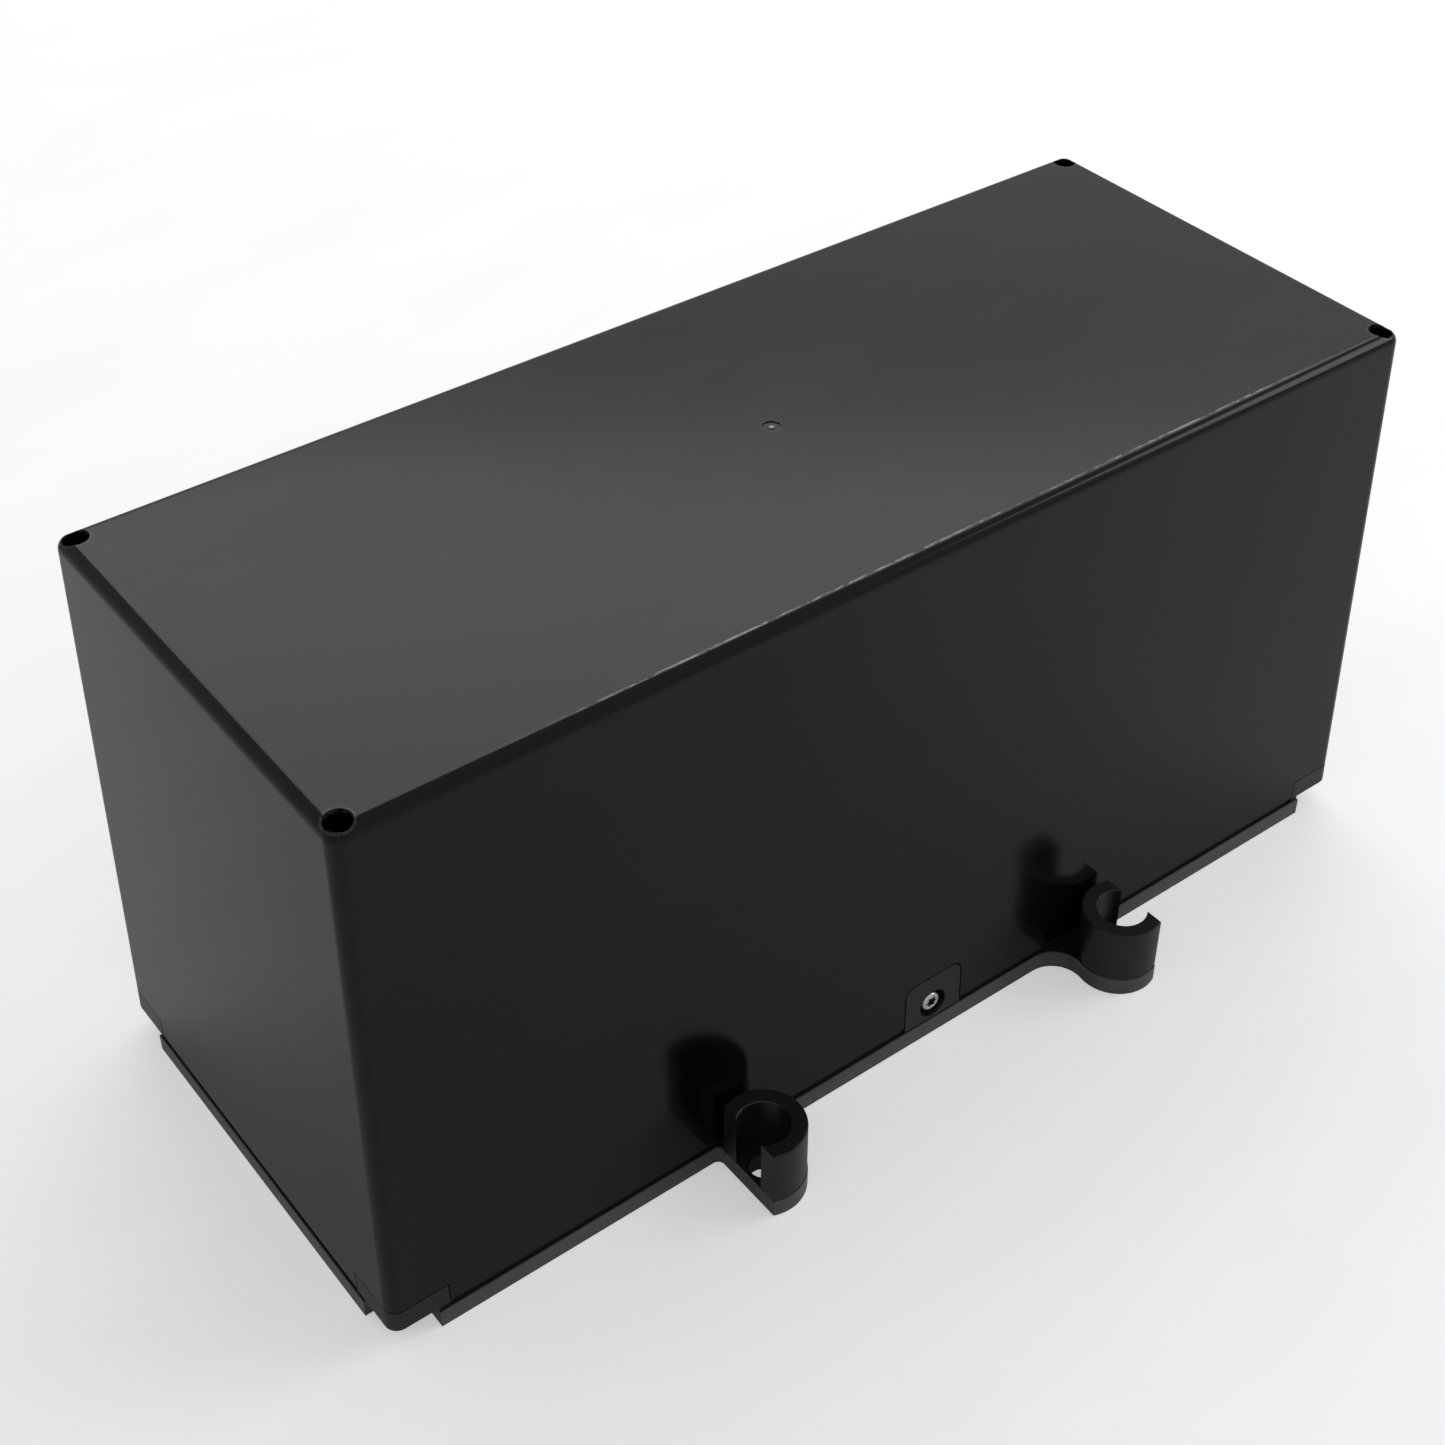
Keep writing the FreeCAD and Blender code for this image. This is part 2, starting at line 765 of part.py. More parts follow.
def clamp_bar():
    """A flat steel bar across one battery with its two long edges turned up."""
    half = bar_width / 2
    y_range = (rod_front - bar_end, rod_rear + bar_end)
    flat = box((-half, half), y_range, (battery_top, bar_top))
    lip_y = (battery_front + bar_flange, battery_rear - bar_flange)
    lip = box((half - bar_lip, half), lip_y, (battery_top, bar_top + bar_flange))
    bar = fused([flat] + both_ends(lip))
    for y in (rod_front, rod_rear):
        bar = bar.cut(upright(0, y, (battery_top - margin, bar_top + margin), rod_radius + seat_gap))
    return bar


def wing_nut():
    hub = upright(0, 0, (0, nut_height), nut_radius)
    thin = wing_thickness / 2
    top = nut_height + wing_rise
    outline = [(0, 0), (wing_reach, nut_height / 2), (wing_reach, top), (wing_reach - wing_tip, top),
               (nut_radius / 2, wing_root)]
    corners = [FreeCAD.Vector(x, -thin, z) for x, z in outline]
    face = Part.Face(Part.makePolygon(corners + corners[:1]))
    wing = face.extrude(FreeCAD.Vector(0, wing_thickness, 0))
    nut = fused([hub, wing, mirrored(wing, (1, 0, 0))])
    return nut.cut(upright(0, 0, (-margin, top + margin), rod_radius + thread_clearance))


def washer():
    ring = upright(0, 0, (0, washer_thickness), washer_radius)
    return ring.cut(upright(0, 0, (-margin, washer_thickness + margin), rod_radius + seat_gap))


def at_rods(shape, height):
    copies = []
    for x, y in rod_places():
        copy = shape.copy()
        copy.translate(FreeCAD.Vector(x, y, height))
        copies.append(copy)
    return group(copies)


def make_tie_rods():
    heights = (plate_thickness + margin, bar_top + rod_above_bar)
    return group([upright(x, y, heights, rod_radius) for x, y in rod_places()])


def moved_along_x(shape, distance):
    moved = shape.copy()
    moved.translate(FreeCAD.Vector(distance, 0, 0))
    return moved


# ---- wiring

def pole_places():
    return [-battery_x + side * pole_pitch / 2 for side in (-1, 1)]


def make_terminal_block():
    """A two-pole connector on the left bar with a wire tunnel and two screw holes for each pole."""
    half_x = block_size_x / 2
    y_range = (block_y - block_size_y / 2, block_y + block_size_y / 2)
    heights = (bar_top, bar_top + block_size_z)
    body = box((-battery_x - half_x, -battery_x + half_x), y_range, heights)
    for side in (-1, 1):
        middle = -battery_x + side * (bar_width - bar_lip) / 2
        relief_x = (middle - bar_lip / 2, middle + bar_lip / 2)
        body = body.cut(box(relief_x, y_range, (bar_top, bar_top + bar_flange)))
    for x in pole_places():
        body = body.cut(along_y(x, bar_top + pole_height, y_range, wire_radius + fuse_clearance))
        for y in clamp_rows():
            screw_room = (heights[1] - clamp_depth, heights[1] + margin)
            body = body.cut(upright(x, y, screw_room, clamp_screw_radius))
    return body


def clamp_rows():
    near = block_y - block_size_y / 2 + clamp_screw_inset
    far = block_y + block_size_y / 2 - clamp_screw_inset
    return (near, far)


def make_clamp_screws():
    """Slotted grub screws, sunk a little in the connector's top."""
    top = bar_top + block_size_z - clamp_screw_sink
    bottom = bar_top + block_size_z - clamp_depth
    screws = []
    for x in pole_places():
        for y in clamp_rows():
            screw = upright(x, y, (bottom, top), clamp_screw_radius)
            slot = box((x - clamp_screw_radius, x + clamp_screw_radius),
                       (y - recess_width / 2, y + recess_width / 2), (top - recess_width, top + margin))
            screws.append(screw.cut(slot))
    return group(screws)


def fuse_slots(clearance, z_range):
    slots = []
    half_y = fuse_blade_y / 2 + clearance
    for side in (-1, 1):
        middle = battery_x + side * fuse_blade_pitch / 2
        half_x = fuse_blade_x / 2 + clearance
        x_range = (middle - half_x, middle + half_x)
        slots.append(box(x_range, (block_y - half_y, block_y + half_y), z_range))
    return slots


def make_fuse_holder():
    half_x = fuse_holder_x / 2
    half_y = fuse_holder_y / 2
    top = bar_top + bar_flange + fuse_holder_z
    bottom = bar_top + bar_flange
    x_range = (battery_x - half_x, battery_x + half_x)
    y_range = (block_y - half_y, block_y + half_y)
    body = box(x_range, y_range, (bottom, top))
    body = body.makeFillet(lid_round, [edge for edge in body.Edges if edge.BoundBox.ZLength > margin])
    foot_half = bar_width / 2 - bar_lip - fuse_clearance
    foot = box((battery_x - foot_half, battery_x + foot_half), y_range, (bar_top, bottom))
    body = fused([body, foot])
    for tool in fuse_slots(fuse_clearance, (top - fuse_blade_z - fuse_slot_spare, top + margin)):
        body = body.cut(tool)
    for side in (-1, 1):
        mouth = FreeCAD.Vector(battery_x + side * (half_x + margin), block_y, wire_height())
        inwards = FreeCAD.Vector(-side, 0, 0)
        depth = wire_socket + margin
        body = body.cut(Part.makeCylinder(wire_radius + fuse_clearance, depth, mouth, inwards))
    return body


def wire_height():
    return bar_top + bar_flange + fuse_holder_z / 2


def make_fuse():
    low = bar_top + bar_flange + fuse_holder_z
    half_x = fuse_body_x / 2
    half_y = fuse_body_y / 2
    x_range = (battery_x - half_x, battery_x + half_x)
    y_range = (block_y - half_y, block_y + half_y)
    body = box(x_range, y_range, (low, low + fuse_body_z))
    body = body.makeChamfer(lid_step, face_edges(body, low + fuse_body_z))
    blades = fuse_slots(0, (low - fuse_blade_z, low))
    return fused([body] + blades)


def wire(name, points):
    """A round wire along straight runs joined by tangent arcs as large as the runs allow."""
    path = [FreeCAD.Vector(*point) for point in points]
    edges = []
    last = path[0]
    radii = []
    for before, corner, after in zip(path, path[1:], path[2:]):
        back = (before - corner).normalize()
        ahead = (after - corner).normalize()
        turn = math.pi - back.getAngle(ahead)
        shorter = min((before - corner).Length, (after - corner).Length)
        setback = arc_share * shorter
        radius = setback / math.tan(turn / 2)
        start = corner + back * setback
        stop = corner + ahead * setback
        bisector = (back + ahead).normalize()
        reach = math.hypot(radius, setback) - radius
        edges.append(Part.LineSegment(last, start).toShape())
        edges.append(Part.Arc(start, corner + bisector * reach, stop).toShape())
        radii.append(round(radius, 1))
        last = stop
    edges.append(Part.LineSegment(last, path[-1]).toShape())
    route = Part.Wire(edges)
    section = Part.Wire([Part.Circle(path[0], path[1] - path[0], wire_radius).toShape()])
    tube = route.makePipeShell([section], True, True)
    ratio = tube.Volume / (math.pi * wire_radius ** 2 * route.Length)
    print(name, "length", round(route.Length, 1), "arc radii", radii, "volume ratio", round(ratio, 4))
    return tube


def series_link_points():
    rise = sleeve_top + 2 * inner_terminal
    return [(-inner_terminal, terminal_y, sleeve_top), (-inner_terminal, terminal_y, rise),
            (inner_terminal, terminal_y, rise), (inner_terminal, terminal_y, sleeve_top)]


def over_the_lid(x, target_x, target_y):
    """A lead's first corners: up from its sleeve, over and then level towards a target."""
    reach = math.hypot(target_x - x, target_y - terminal_y)
    step_x = (target_x - x) / reach
    step_y = (target_y - terminal_y) / reach
    corners = [(x, terminal_y, sleeve_top)]
    level = lead_rise + lead_step
    for along, up in ((0, lead_rise), (lead_step, level), (lead_step + lead_level, level)):
        corners.append((x + along * step_x, terminal_y + along * step_y, sleeve_top + up))
    return corners


def negative_lead_points():
    pole = pole_places()[0]
    level = bar_top + pole_height
    face = block_y - block_size_y / 2
    start = over_the_lid(-outer_terminal, pole, face - lead_entry)
    return start + [(pole, face - lead_entry, level), (pole, face + wire_socket, level)]


def positive_lead_points():
    level = wire_height()
    end = battery_x + fuse_holder_x / 2
    start = over_the_lid(outer_terminal, end + lead_entry, block_y)
    return start + [(end + lead_entry, block_y, level), (end - wire_socket, block_y, level)]


def fused_lead_points():
    level = wire_height()
    end = battery_x - fuse_holder_x / 2
    pole = pole_places()[1]
    pole_level = bar_top + pole_height
    corner_y = block_y - block_size_y / 2 - lead_entry
    low = battery_top + lead_lift
    return [(end + wire_socket, block_y, level), (end - lead_entry, block_y, level),
            (0, (block_y + corner_y) / 2, low), (pole / 2, corner_y, pole_level - lead_drop),
            (pole, corner_y, pole_level), (pole, corner_y + lead_entry + wire_socket, pole_level)]


def make_grommet():
    """A rubber ring with a waist in the rear tongue and a flange on each side."""
    outer = entry_outer_y + grommet_clearance
    inner = entry_inner_y - grommet_clearance
    whole = (inner - grommet_flange_thickness, outer + grommet_flange_thickness)
    body = along_y(entry_x, grommet_z, whole, grommet_waist)
    flanges = []
    for start in (whole[0], outer):
        flange = along_y(entry_x, grommet_z, (start, start + grommet_flange_thickness), grommet_flange)
        flanges.append(flange.makeFillet(grommet_round, flange.Edges[:1] + flange.Edges[2:]))
    ring = fused([body] + flanges)
    through = (inner - 2 * grommet_flange_thickness, outer + 2 * grommet_flange_thickness)
    return ring.cut(along_y(entry_x, grommet_z, through, grommet_bore))


def save(name, shape):
    solids = shape.Solids
    bad = [index for index, solid in enumerate(solids) if not solid.isValid() or solid.Volume <= 0]
    whole = group(solids) if len(solids) > 1 else solids[0]
    whole.exportStep("parts/" + name + ".step")
    volume = sum(solid.Volume for solid in solids) / 1000
    print(name, "solids", len(solids), "bad", bad, "cm3", round(volume, 2))


def main():
    os.makedirs("parts", exist_ok=True)
    save("cover", make_cover())
    save("base", make_base())
    save("edge_gaskets", make_gaskets())
    save("cable_grommet", make_grommet())
    save("tongue_screw", make_tongue_screw())
    save("tongue_insert", make_tongue_insert())
    save("cover_screws", make_cover_screws())
    save("corner_inserts", at_wells(threaded_insert(), block_top))
    pieces = {"case": make_case(), "lid": make_lid(), "vent_strip": make_vent_strip()}
    for piece, shape in pieces.items():
        save("right_battery_" + piece, shape)
        save("left_battery_" + piece, mirrored(shape, (1, 0, 0)))
    blades = (-outer_terminal, -inner_terminal, inner_terminal, outer_terminal)
    save("left_battery_terminals", at_terminals(terminal_blade(), blades[:2]))
    save("right_battery_terminals", at_terminals(terminal_blade(), blades[2:]))
    save("positive_collars", at_terminals(collar(), blades[1::2]))
    save("negative_collars", at_terminals(collar(), blades[0::2]))
    save("positive_sleeves", at_terminals(sleeve(), blades[1::2]))
    save("negative_sleeves", at_terminals(sleeve(), blades[0::2]))
    save("seat_strips", make_seat_strips())
    save("battery_divider", make_divider())
    save("left_clamp_bar", moved_along_x(clamp_bar(), -battery_x))
    save("right_clamp_bar", moved_along_x(clamp_bar(), battery_x))
    save("tie_rods", make_tie_rods())
    save("tie_rod_washers", at_rods(washer(), bar_top))
    save("wing_nuts", at_rods(wing_nut(), bar_top + washer_thickness))
    save("terminal_block", make_terminal_block())
    save("clamp_screws", make_clamp_screws())
    save("fuse_holder", make_fuse_holder())
    save("fuse", make_fuse())
    save("series_link", wire("series_link", series_link_points()))
    save("negative_lead", wire("negative_lead", negative_lead_points()))
    save("positive_lead", wire("positive_lead", positive_lead_points()))
    save("fused_lead", wire("fused_lead", fused_lead_points()))


main()
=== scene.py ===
import math
import bpy
import numpy as np
from mathutils import Matrix, Vector


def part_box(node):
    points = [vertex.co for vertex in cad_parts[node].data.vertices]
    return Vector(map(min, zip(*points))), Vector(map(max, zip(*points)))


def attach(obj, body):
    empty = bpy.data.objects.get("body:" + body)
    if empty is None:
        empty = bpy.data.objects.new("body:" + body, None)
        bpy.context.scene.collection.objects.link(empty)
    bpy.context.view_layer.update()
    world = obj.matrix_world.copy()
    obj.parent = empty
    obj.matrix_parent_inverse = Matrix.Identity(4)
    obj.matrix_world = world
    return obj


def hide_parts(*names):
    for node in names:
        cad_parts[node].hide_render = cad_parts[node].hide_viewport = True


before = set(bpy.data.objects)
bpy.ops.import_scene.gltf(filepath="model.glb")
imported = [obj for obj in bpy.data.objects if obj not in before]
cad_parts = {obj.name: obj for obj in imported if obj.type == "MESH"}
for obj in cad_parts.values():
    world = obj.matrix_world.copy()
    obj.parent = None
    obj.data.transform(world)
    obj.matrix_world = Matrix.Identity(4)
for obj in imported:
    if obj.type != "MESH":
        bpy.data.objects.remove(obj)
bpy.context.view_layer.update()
print("stage: frame loaded,", len(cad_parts), "nodes")

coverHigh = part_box("cover")[1]
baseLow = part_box("base")[0]


def feed(tree, socket, value):  # links an output, or sets a plain number, vector or colour
    if isinstance(value, bpy.types.NodeSocket):
        tree.links.new(value, socket)
    elif socket.type == "RGBA":
        socket.default_value = (*value, 1.0)
    else:
        socket.default_value = value


def addNode(tree, kind, place, **settings):
    made = tree.nodes.new(kind)
    made.location = (place[0] * 190, place[1] * -170)
    for key, value in settings.items():
        setattr(made, key, value)
    return made


def setInputs(made, values):
    for socketName, value in values.items():
        made.inputs[socketName].default_value = value
    return made


def mathNode(tree, operation, place, first, second=None, clamp=False):
    made = addNode(tree, "ShaderNodeMath", place, operation=operation, use_clamp=clamp)
    feed(tree, made.inputs[0], first)
    if second is not None:
        feed(tree, made.inputs[1], second)
    return made.outputs[0]


def oneMinus(tree, place, value):
    return mathNode(tree, "SUBTRACT", place, 1.0, value)


def rampMask(tree, place, value, low, high):  # rises smoothly from 0 at low to 1 at high
    made = addNode(tree, "ShaderNodeMapRange", place, interpolation_type="SMOOTHSTEP")
    feed(tree, made.inputs["Value"], value)
    feed(tree, made.inputs["From Min"], low)
    feed(tree, made.inputs["From Max"], high)
    return made.outputs["Result"]


def rangeOf(tree, place, value, low, high):  # spreads a 0 to 1 value between two numbers
    made = addNode(tree, "ShaderNodeMapRange", place)
    feed(tree, made.inputs["Value"], value)
    return setInputs(made, {"To Min": low, "To Max": high}).outputs["Result"]


def noiseNode(tree, place, vector, scale, detail, roughness, distortion=0.0):
    made = addNode(tree, "ShaderNodeTexNoise", place)
    feed(tree, made.inputs["Vector"], vector)
    feed(tree, made.inputs["Scale"], scale)
    return setInputs(made, {"Detail": detail, "Roughness": roughness, "Distortion": distortion}).outputs["Fac"]


def axesOf(tree, place, vector):
    made = addNode(tree, "ShaderNodeSeparateXYZ", place)
    feed(tree, made.inputs[0], vector)
    return made.outputs


def stretched(tree, place, vector, x=1.0, y=1.0, z=1.0):  # multiplies each axis by its own factor
    factors = addNode(tree, "ShaderNodeCombineXYZ", (place[0] - 1, place[1] + 1))
    for axis, factor in (("X", x), ("Y", y), ("Z", z)):
        feed(tree, factors.inputs[axis], factor)
    made = addNode(tree, "ShaderNodeVectorMath", place, operation="MULTIPLY")
    feed(tree, made.inputs[0], vector)
    feed(tree, made.inputs[1], factors.outputs[0])
    return made.outputs[0]


def mixColours(tree, place, mask, low, high):
    made = addNode(tree, "ShaderNodeMix", place, data_type="RGBA")
    feed(tree, made.inputs["Factor"], mask)
    feed(tree, made.inputs[6], low)  # 6, 7 and output 2 are the colour sockets of this node
    feed(tree, made.inputs[7], high)
    return made.outputs[2]


vectorKind, floatKind = "NodeSocketVector", "NodeSocketFloat"


def newGroup(name, inputs, outputs):
    tree = bpy.data.node_groups.new(name, "ShaderNodeTree")
    for socketName, kind, value in inputs:
        socket = tree.interface.new_socket(name=socketName, in_out="INPUT", socket_type=kind)
        if value is not None:
            socket.default_value = value
    for socketName in outputs:
        tree.interface.new_socket(name=socketName, in_out="OUTPUT", socket_type=floatKind)
    return tree, tree.nodes.new("NodeGroupInput").outputs, tree.nodes.new("NodeGroupOutput").inputs


grainValues = {
    "fine": {"detail": 2.0, "roughness": 0.6},
    "wave": {"detail": 1.0, "roughness": 0.4},
    "blotches": {"scale": 22.0, "detail": 5.0, "roughness": 0.62, "distortion": 0.6},
    "streaks": {"scale": 160.0, "detail": 3.0, "roughness": 0.55, "distortion": 0.3},
    "mottleRange": (0.35, 0.68),
}


def makeMouldGrain():  # height = fine grain + slow waviness; mottle = blotches left by the melt's flow
    tree, start, end = newGroup(
        "mouldGrain",
        [("Vector", vectorKind, None), ("Grain Scale", floatKind, 1400.0), ("Grain Amount", floatKind, 0.5),
         ("Wave Scale", floatKind, 9.0), ("Wave Amount", floatKind, 0.5), ("Flow Stretch", floatKind, 0.25)],
        ["Height", "Mottle", "Streaks"])
    where = start["Vector"]
    fine = noiseNode(tree, (1, 0), where, start["Grain Scale"], **grainValues["fine"])
    wave = noiseNode(tree, (1, 1), where, start["Wave Scale"], **grainValues["wave"])
    fineHeight = mathNode(tree, "MULTIPLY", (2, 0), fine, start["Grain Amount"])
    waveHeight = mathNode(tree, "MULTIPLY", (2, 1), wave, start["Wave Amount"])
    flow = stretched(tree, (1, 3), where, x=start["Flow Stretch"])
    blotches = noiseNode(tree, (2, 3), flow, **grainValues["blotches"])
    feed(tree, end["Height"], mathNode(tree, "ADD", (3, 0), fineHeight, waveHeight))
    feed(tree, end["Mottle"], rampMask(tree, (3, 3), blotches, *grainValues["mottleRange"]))
    feed(tree, end["Streaks"], noiseNode(tree, (2, 4), flow, **grainValues["streaks"]))
    return tree


dustValues = {"softEdge": 0.03}


def makeDustSpecks():  # mask = round dots whose size is drawn per cell, kept in a drawn share of the cells
    tree, start, end = newGroup(
        "dustSpecks",
        [("Vector", vectorKind, None), ("Scale", floatKind, 260.0), ("Size", floatKind, 0.12),
         ("Amount", floatKind, 0.5)],
        ["Mask"])
    cells = addNode(tree, "ShaderNodeTexVoronoi", (1, 0), feature="F1")
    feed(tree, cells.inputs["Vector"], start["Vector"])
    feed(tree, cells.inputs["Scale"], start["Scale"])
    drawn = addNode(tree, "ShaderNodeSeparateColor", (2, 1))
    feed(tree, drawn.inputs[0], cells.outputs["Color"])
    size = mathNode(tree, "MULTIPLY", (3, 1), drawn.outputs[0], start["Size"])
    inside = mathNode(tree, "SUBTRACT", (4, 0), size, cells.outputs["Distance"])
    dot = rampMask(tree, (5, 0), inside, 0.0, dustValues["softEdge"])
    kept = mathNode(tree, "GREATER_THAN", (4, 2), drawn.outputs[1], oneMinus(tree, (3, 2), start["Amount"]))
    feed(tree, end["Mask"], mathNode(tree, "MULTIPLY", (6, 0), dot, kept, clamp=True))
    return tree


# settings of the painted highlight along the cover's top front edge
scuffValues = {
    "depthRange": (0.0002, 0.0009), "fadeRange": (0.6, 1.0), "stretch": 0.2,
    "streaks": {"scale": 2400.0, "detail": 3.0, "roughness": 0.7},
    "patches": {"scale": 70.0, "detail": 2.0, "roughness": 0.5}, "patchShare": 0.8, "speckleRange": (0.8, 1.0),
}


def makeRimHighlight():  # mask = where the painted highlight goes: a thin streaky line where the flat top ends in front, faded out towards both ends
    v = scuffValues
    tree, start, end = newGroup(
        "rimScuff",
        [("Vector", vectorKind, None), ("Edge Y", floatKind, 0.06), ("Top", floatKind, 0.156),
         ("Width", floatKind, 0.0006), ("Middle X", floatKind, 0.0), ("Reach X", floatKind, 0.1)],
        ["Mask"])
    axes = axesOf(tree, (1, 0), start["Vector"])
    fromEdge = mathNode(tree, "ABSOLUTE", (3, 0), mathNode(tree, "ADD", (2, 0), axes["Y"], start["Edge Y"]))
    line = oneMinus(tree, (5, 0), rampMask(tree, (4, 0), fromEdge, 0.0, start["Width"]))
    depth = mathNode(tree, "SUBTRACT", (2, 2), start["Top"], axes["Z"])
    nearTop = oneMinus(tree, (4, 2), rampMask(tree, (3, 2), depth, *v["depthRange"]))
    fromMiddle = mathNode(tree, "SUBTRACT", (2, 3), axes["X"], start["Middle X"])
    share = mathNode(tree, "DIVIDE", (4, 3), mathNode(tree, "ABSOLUTE", (3, 3), fromMiddle), start["Reach X"])
    along = oneMinus(tree, (6, 3), rampMask(tree, (5, 3), share, *v["fadeRange"]))
    streaks = noiseNode(tree, (2, 5), stretched(tree, (1, 5), start["Vector"], x=v["stretch"]), **v["streaks"])
    patches = noiseNode(tree, (2, 6), start["Vector"], **v["patches"])
    both = mathNode(tree, "ADD", (4, 5), streaks, mathNode(tree, "MULTIPLY", (3, 6), patches, v["patchShare"]))
    speckled = rampMask(tree, (5, 5), both, *v["speckleRange"])
    edge = mathNode(tree, "MULTIPLY", (6, 0), mathNode(tree, "MULTIPLY", (5, 2), line, nearTop), along)
    feed(tree, end["Mask"], mathNode(tree, "MULTIPLY", (7, 0), edge, speckled, clamp=True))
    return tree


metalValues = {
    "lines": {"detail": 3.0, "roughness": 0.6},
    "stain": {"scale": 120.0, "detail": 4.0, "roughness": 0.6},
    "stainRange": (0.4, 0.75), "depth": 0.00004,
}


def makeMetalMarks():  # lines = noise stretched along the piece's height; stain = slow cloudy noise
    tree, start, end = newGroup(
        "metalMarks",
        [("Vector", vectorKind, None), ("Scale", floatKind, 900.0), ("Stretch", floatKind, 0.08)],
        ["Lines", "Stain"])
    drawnOut = stretched(tree, (1, 0), start["Vector"], z=start["Stretch"])
    feed(tree, end["Lines"], noiseNode(tree, (2, 0), drawnOut, start["Scale"], **metalValues["lines"]))
    feed(tree, end["Stain"], noiseNode(tree, (2, 1), start["Vector"], **metalValues["stain"]))
    return tree


groups = {"grain": makeMouldGrain(), "dust": makeDustSpecks(), "scuff": makeRimHighlight(), "metal": makeMetalMarks()}


def placeGroup(tree, key, place, vector, values):
    made = addNode(tree, "ShaderNodeGroup", place, node_tree=groups[key])
    feed(tree, made.inputs["Vector"], vector)
    return setInputs(made, values).outputs


def startMaterial(name, viewColour):
    made = bpy.data.materials.new(name)
    made.use_nodes = True
    made.diffuse_color = (*viewColour, 1.0)
    tree = made.node_tree
    shader = tree.nodes["Principled BSDF"]
    shader.location = (1900, 0)
    tree.nodes["Material Output"].location = (2200, 0)
    where = addNode(tree, "ShaderNodeTexCoord", (-1, 0)).outputs["Object"]
    return made, tree, shader, where


def addBump(tree, shader, height, strength, distance):
    bump = setInputs(addNode(tree, "ShaderNodeBump", (8, 4)), {"Strength": strength, "Distance": distance})
    feed(tree, bump.inputs["Height"], height)
    feed(tree, shader.inputs["Normal"], bump.outputs["Normal"])


markAndHighlightValues = {"core": 0.4, "deepest": 0.0014, "shallowest": 0.0009, "noise": {"detail": 3.0, "roughness": 0.7}}


# 1 on a broken ring round an upright axis, in all four quarters, near the cover's top
def ringMask(tree, row, where, ring):
    folded = addNode(tree, "ShaderNodeVectorMath", (0, row), operation="ABSOLUTE")
    feed(tree, folded.inputs[0], where)
    away = addNode(tree, "ShaderNodeVectorMath", (2, row), operation="DISTANCE")
    feed(tree, away.inputs[0], stretched(tree, (1, row), folded.outputs[0], z=0.0))
    feed(tree, away.inputs[1], (*ring["centre"], 0.0))
    fromRing = mathNode(tree, "SUBTRACT", (3, row), away.outputs["Value"], ring["radius"])
    offset = mathNode(tree, "ABSOLUTE", (4, row), fromRing)
    near = oneMinus(tree, (6, row), rampMask(tree, (5, row), offset, ring["width"] * markAndHighlightValues["core"], ring["width"]))
    noise = noiseNode(tree, (4, row + 1), where, ring["grain"], **markAndHighlightValues["noise"])
    broken = mathNode(tree, "MULTIPLY", (7, row), near, rampMask(tree, (5, row + 1), noise, *ring["breaks"]))
    top = rampMask(tree, (2, row + 1), axesOf(tree, (1, row + 2), where)["Z"],
                   coverHigh.z - markAndHighlightValues["deepest"], coverHigh.z - markAndHighlightValues["shallowest"])
    return mathNode(tree, "MULTIPLY", (8, row), broken, top, clamp=True)


plasticValues = {"streakShare": 0.7, "shineShare": 0.6, "scuffRough": 0.25, "paintedReflectionRange": (0.55, 1.25)}


def mouldedPlastic(name, finish):  # colour drifts with the mottle, shine with mottle and streaks, grain as bump
    v = plasticValues
    made, tree, shader, where = startMaterial(name, finish["colour"])
    grain = placeGroup(tree, "grain", (1, 0), where, {
        "Grain Scale": finish["grainScale"], "Grain Amount": finish["grain"], "Wave Scale": finish["waveScale"],
        "Wave Amount": finish["wave"], "Flow Stretch": finish["stretch"]})
    dust = placeGroup(tree, "dust", (1, 3), where, {
        "Scale": finish["dustScale"], "Size": finish["dustSize"], "Amount": finish["dust"]})
    lighter = tuple(min(1.0, part * finish["drift"]) for part in finish["colour"])
    colour = mixColours(tree, (4, 0), grain["Mottle"], finish["colour"], lighter)
    colour = mixColours(tree, (5, 0), dust["Mask"], colour, finish["dustColour"])
    streaks = mathNode(tree, "MULTIPLY", (3, 2), grain["Streaks"], v["streakShare"])
    shine = mathNode(tree, "ADD", (4, 2), grain["Mottle"], streaks)
    rough = rangeOf(tree, (5, 2), mathNode(tree, "MULTIPLY", (4, 3), shine, v["shineShare"]), *finish["rough"])
    if "rim" in finish:
        # the rim mask paints a pale line on the top's front edge: a painted highlight
        scuff = placeGroup(tree, "scuff", (1, 5), where, finish["rim"])["Mask"]
        colour = mixColours(tree, (6, 0), scuff, colour, finish["scuffColour"])
        rough = mathNode(tree, "ADD", (6, 2), rough, mathNode(tree, "MULTIPLY", (5, 4), scuff, v["scuffRough"]))
    # rings: gate marks on the top, and the painted highlight on the wells' rims
    for row, ring in enumerate(finish.get("rings", [])):
        colour = mixColours(tree, (9, row), ringMask(tree, 10 + 3 * row, where, ring), colour, ring["colour"])
    if "paintedEdgeReflection" in finish:  # painted reflection of the pale floor: the plate's cut edges are paler up to just under its top face
        height = axesOf(tree, (1, 7), where)["Z"]
        low = oneMinus(tree, (3, 7), rampMask(tree, (2, 7), height, *finish["paintedEdgeReflection"]["heights"]))
        patchy = rangeOf(tree, (3, 8), grain["Streaks"], *v["paintedReflectionRange"])
        paintedReflection = mathNode(tree, "MULTIPLY", (4, 7), low, patchy, clamp=True)
        colour = mixColours(tree, (6, 0), paintedReflection, colour, finish["paintedEdgeReflection"]["colour"])
    feed(tree, shader.inputs["Base Color"], colour)
    feed(tree, shader.inputs["Roughness"], rough)
    shader.inputs["IOR"].default_value = finish["ior"]
    addBump(tree, shader, grain["Height"], finish["bump"], finish["depth"])
    return made


